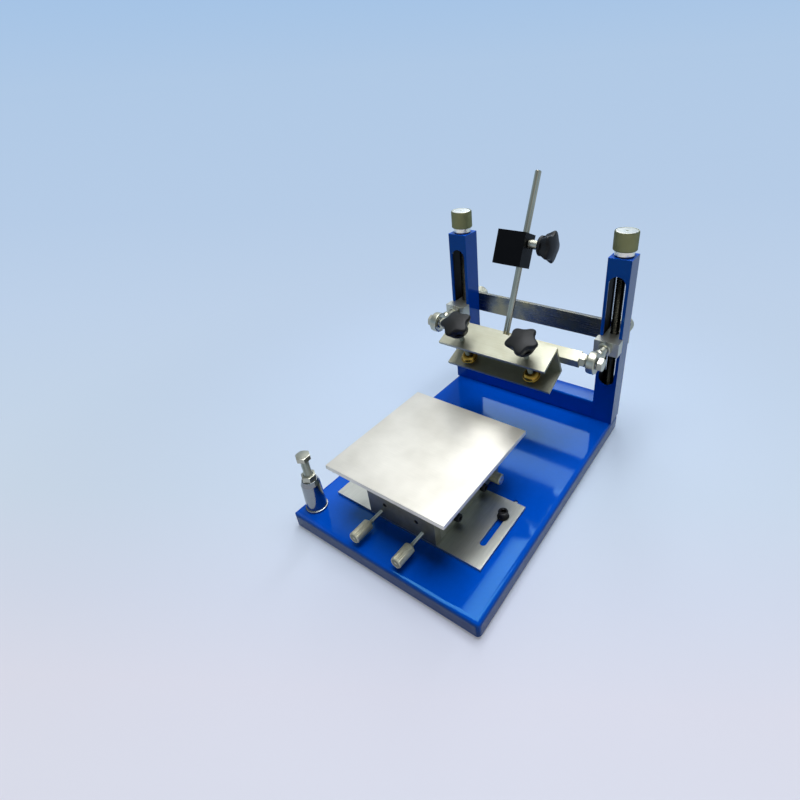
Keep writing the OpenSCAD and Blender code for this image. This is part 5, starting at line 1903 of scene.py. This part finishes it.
@dataclass
class Platen:
    """The platen with its standoffs and turntable."""

    edge: float = 0.4
    standoff_diameter: float = 12.0

    def build(self) -> None:
        """Makes the platen's pieces."""
        refine("platen", self.edge, PLATEN, "platen")
        refine("turntable", self.edge, MILLED, "platen")
        low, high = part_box("standoffs")
        section = bar(self.standoff_diameter / 2, 0.0, (high.z - low.z) / MM, self.edge, self.edge)
        pillars = Shape().turned(section).piece("standoffs_finished")
        dress(ROW.four(pillars, ZINC, "standoffs", self.standoff_diameter), ZINC, "platen", ["standoffs"])


@dataclass(frozen=True)
class Lamp:
    """A soft rectangular lamp or window pane: its middle in metres, its size, the way it shines and its watts."""

    name: str
    place: tuple[float, float, float]
    size: tuple[float, float]
    way: tuple[float, float, float]
    power: float

    def hang(self) -> None:
        """Adds the lamp."""
        data = bpy.data.lights.new(self.name, "AREA")
        data.shape = "RECTANGLE"
        data.size, data.size_y = self.size
        data.energy = self.power
        data.color = linear(COOL_WHITE)[:3]
        lamp = bpy.data.objects.new(self.name, data)
        lamp.matrix_world = standing(Vector(self.place), -Vector(self.way))
        lamp.visible_camera = False
        bpy.context.scene.collection.objects.link(lamp)


@dataclass
class Studio:
    """The plain floor and backdrop, the soft lamps and the camera at the photograph's angle."""

    # Backdrop, from the photograph's margins: pale near the camera, bluer far away and above. Each stop is a share
    # of the way from the camera's foot to the far distance, which is half gone at half_way metres
    backdrop: Stops = (
        (0.2, "#DDDFEB"),
        (0.265, "#DCDDE9"),
        (0.342, "#D2D9E8"),
        (0.43, "#C9D7E7"),
        (0.53, "#C3D4E8"),
        (0.64, "#BED1E9"),
        (0.77, "#B6CCE7"),
        (1.0, "#B0C9E6"),
    )
    half_way: float = 0.5
    # The way that this distance is taken along, in degrees from straight back towards the left
    bearing: float = 30.0
    # The sky by height, over the backdrop's last colour. Above the view, where only shiny pieces mirror it, the
    # room is darker
    sky: Stops = ((0.1, "#A6C4E6"), (0.3, "#A6C4E6"), (0.55, "#8F979E"))
    floor_size: float = 60.0
    floor_roughness: float = 0.9
    floor_gloss: float = 0.1
    # From the first distance to the second the floor turns from lit paper to plain backdrop, and it is never less
    # backdrop than the third
    fade_from: float = 0.16
    fade_to: float = 0.7
    fade_floor: float = 0.3
    # Share of the floor's colour that lights the press from below: a plain paper sheet in soft light
    bounce: float = 0.1
    # Strength of the light from all round
    daylight: float = 0.1
    lamps: tuple[Lamp, ...] = (
        Lamp("window", place=(-0.55, 1.2, 1.07), size=(0.6, 0.54), way=(0.0, -1.0, 0.0), power=4.3),
        Lamp("roof_pane", place=(-0.35, 0.78, 1.3), size=(0.12, 0.76), way=(0.0, 0.0, -1.0), power=2.4),
        Lamp("side_window", place=(-0.817, 0.616, 1.097), size=(0.6, 0.44), way=(0.545, -0.411, -0.731), power=0.95),
        Lamp("overhead", place=(0.05, 0.1, 1.5), size=(0.9, 0.9), way=(0.0, 0.0, -1.0), power=22.0),
        Lamp("front_fill", place=(0.87, -1.08, 0.8), size=(1.0, 1.0), way=(-0.54, 0.67, -0.5), power=0.6),
    )
    # Camera, solved from the photograph: place from the base's front left top corner in millimetres,
    # angles in degrees, focal length and principal point in pixels of the 800 by 800 frame
    place_mm: tuple[float, float, float] = (356.3, -181.0, 380.0)
    azimuth: float = 35.956
    elevation: float = 31.647
    roll: float = -3.525
    focal_px: float = 491.31
    centre_px: tuple[float, float] = (462.78, 367.25)
    frame_px: float = 800.0
    sensor_mm: float = 36.0
    clip_start: float = 0.01

    def build(self) -> None:
        """Makes the floor, world, lamps and camera."""
        self._camera()
        self._floor()
        self._world()
        for lamp in self.lamps:
            lamp.hang()
            log.info("%s hangs in the studio", lamp.name)

    def _shown(self, tree: bpy.types.NodeTree) -> bpy.types.NodeSocket:
        """Tells which rays see the backdrop rather than the light.

        Args:
            tree: The node tree.

        Returns:
            A socket that is 1 for the camera's rays and for mirrored and refracted ones.
        """
        path = add_node(tree, "ShaderNodeLightPath").outputs
        seen = path["Is Camera Ray"]
        for ray in ("Is Glossy Ray", "Is Transmission Ray"):
            seen = maths(tree, "MAXIMUM", seen, path[ray])
        return seen

    def _floor(self) -> None:
        """Makes the pale floor, which fades into the backdrop away from the press."""
        bpy.ops.mesh.primitive_plane_add(size=self.floor_size)
        floor = bpy.context.object
        floor.name = "floor"
        material = bpy.data.materials.new("pale_floor")
        material.use_nodes = True
        tree = material.node_tree
        shader = tree.nodes["Principled BSDF"]
        shader.inputs["Roughness"].default_value = self.floor_roughness
        shader.inputs["Specular IOR Level"].default_value = self.floor_gloss
        place = add_node(tree, "ShaderNodeTexCoord").outputs["Object"]
        shown = self._shown(tree)
        tone = self._gradient(tree, place)
        lit = add_node(tree, "ShaderNodeMapRange", {"Value": shown, "To Min": self.bounce, "To Max": 1.0}).outputs[0]
        tree.links.new(mixed_colour(tree, tone, lit, 1.0, "MULTIPLY"), shader.inputs["Base Color"])
        away = add_node(tree, "ShaderNodeVectorMath", {0: place}, operation="LENGTH").outputs["Value"]
        fade = add_node(
            tree,
            "ShaderNodeMapRange",
            {"Value": away, "From Min": self.fade_from, "From Max": self.fade_to, "To Min": self.fade_floor},
            interpolation_type="SMOOTHSTEP",
        )
        glowing = maths(tree, "MULTIPLY", fade.outputs[0], shown)
        glow = add_node(tree, "ShaderNodeEmission", {"Color": tone})
        mixed = add_node(tree, "ShaderNodeMixShader", {0: glowing, 1: shader.outputs[0], 2: glow.outputs[0]})
        tree.links.new(mixed.outputs[0], tree.nodes["Material Output"].inputs["Surface"])
        floor.data.materials.append(material)
        floor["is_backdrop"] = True

    def _gradient(self, tree: bpy.types.NodeTree, place: bpy.types.NodeSocket) -> bpy.types.NodeSocket:
        """Adds the backdrop's gradient over the floor.

        Args:
            tree: The floor's node tree.
            place: The place on the floor.

        Returns:
            The colour.
        """
        foot = bpy.context.scene.camera.matrix_world.translation
        turn = math.radians(self.bearing)
        along = Vector((-math.sin(turn), math.cos(turn), 0.0))
        offset = {0: place, 1: (foot.x, foot.y, 0.0)}
        from_foot = add_node(tree, "ShaderNodeVectorMath", offset, operation="SUBTRACT").outputs[0]
        reach = add_node(tree, "ShaderNodeVectorMath", {0: from_foot, 1: along}, operation="DOT_PRODUCT")
        ahead = maths(tree, "MAXIMUM", reach.outputs["Value"], 0.0)
        past = maths(tree, "ADD", ahead, self.half_way)
        return ramped(tree, maths(tree, "DIVIDE", ahead, past), self.backdrop)

    def _world(self) -> None:
        """Makes soft daylight, whose seen and mirrored colour is the backdrop's."""
        world = bpy.data.worlds.new("studio")
        bpy.context.scene.world = world
        world.use_nodes = True
        tree = world.node_tree
        tree.nodes.clear()
        way = add_node(tree, "ShaderNodeTexCoord").outputs["Generated"]
        rise = add_node(tree, "ShaderNodeSeparateXYZ", {0: way}).outputs[2]
        share = add_node(tree, "ShaderNodeMapRange", {"Value": rise}).outputs[0]
        colour = ramped(tree, share, ((0.0, self.backdrop[-1][1]), *self.sky))
        light = add_node(tree, "ShaderNodeBackground", {"Color": linear(COOL_WHITE), "Strength": self.daylight})
        shown = add_node(tree, "ShaderNodeBackground", {"Color": colour, "Strength": 1.0})
        mixed = add_node(tree, "ShaderNodeMixShader", {0: self._shown(tree), 1: light.outputs[0], 2: shown.outputs[0]})
        add_node(tree, "ShaderNodeOutputWorld", {0: mixed.outputs[0]})

    def _camera(self) -> None:
        """Makes the camera at the photograph's viewing angle."""
        low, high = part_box("base_pan")
        corner = Vector((low.x, low.y, high.z))
        a, e, r = (math.radians(v) for v in (self.azimuth, self.elevation, self.roll))
        back = Vector((math.sin(a) * math.cos(e), -math.cos(a) * math.cos(e), math.sin(e)))
        right = UP.cross(back).normalized()
        up = back.cross(right)
        x = math.cos(r) * right + math.sin(r) * up
        y = -math.sin(r) * right + math.cos(r) * up
        data = bpy.data.cameras.new("camera")
        data.sensor_width = self.sensor_mm
        data.lens = self.focal_px * self.sensor_mm / self.frame_px
        data.shift_x = (self.frame_px / 2 - self.centre_px[0]) / self.frame_px
        data.shift_y = (self.centre_px[1] - self.frame_px / 2) / self.frame_px
        data.clip_start = self.clip_start
        camera = bpy.data.objects.new("camera", data)
        turn = Matrix((x, y, back)).transposed().to_4x4()
        camera.matrix_world = Matrix.Translation(corner + Vector(self.place_mm) * MM) @ turn
        bpy.context.scene.collection.objects.link(camera)
        bpy.context.scene.camera = camera
        bpy.context.scene.view_settings.view_transform = "Standard"


def corners(box: Sequence) -> list[list[float]]:
    """Turns a box into plain lists of numbers."""
    return [[float(v) for v in corner] for corner in box]


def main() -> None:
    """Builds the studio and the press in order."""
    logging.basicConfig(level=logging.INFO, format="%(name)s: %(message)s")
    Studio().build()
    clamp = Clamp(ClampPlace(point("clamp_swing"), axis("left_pad_feed")))
    parts = (
        BasePan(), Posts(), Lift(), Carriage(), clamp, Counterweight(), FrameRest(), SlidePlate(), Stage(), Platen(),
    )
    for part in parts:
        part.build()
        log.info("%s is built", type(part).__name__)
    {"cad": corners(cad_box), "visual": corners(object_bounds())}


if __name__ == "__main__":
    main()
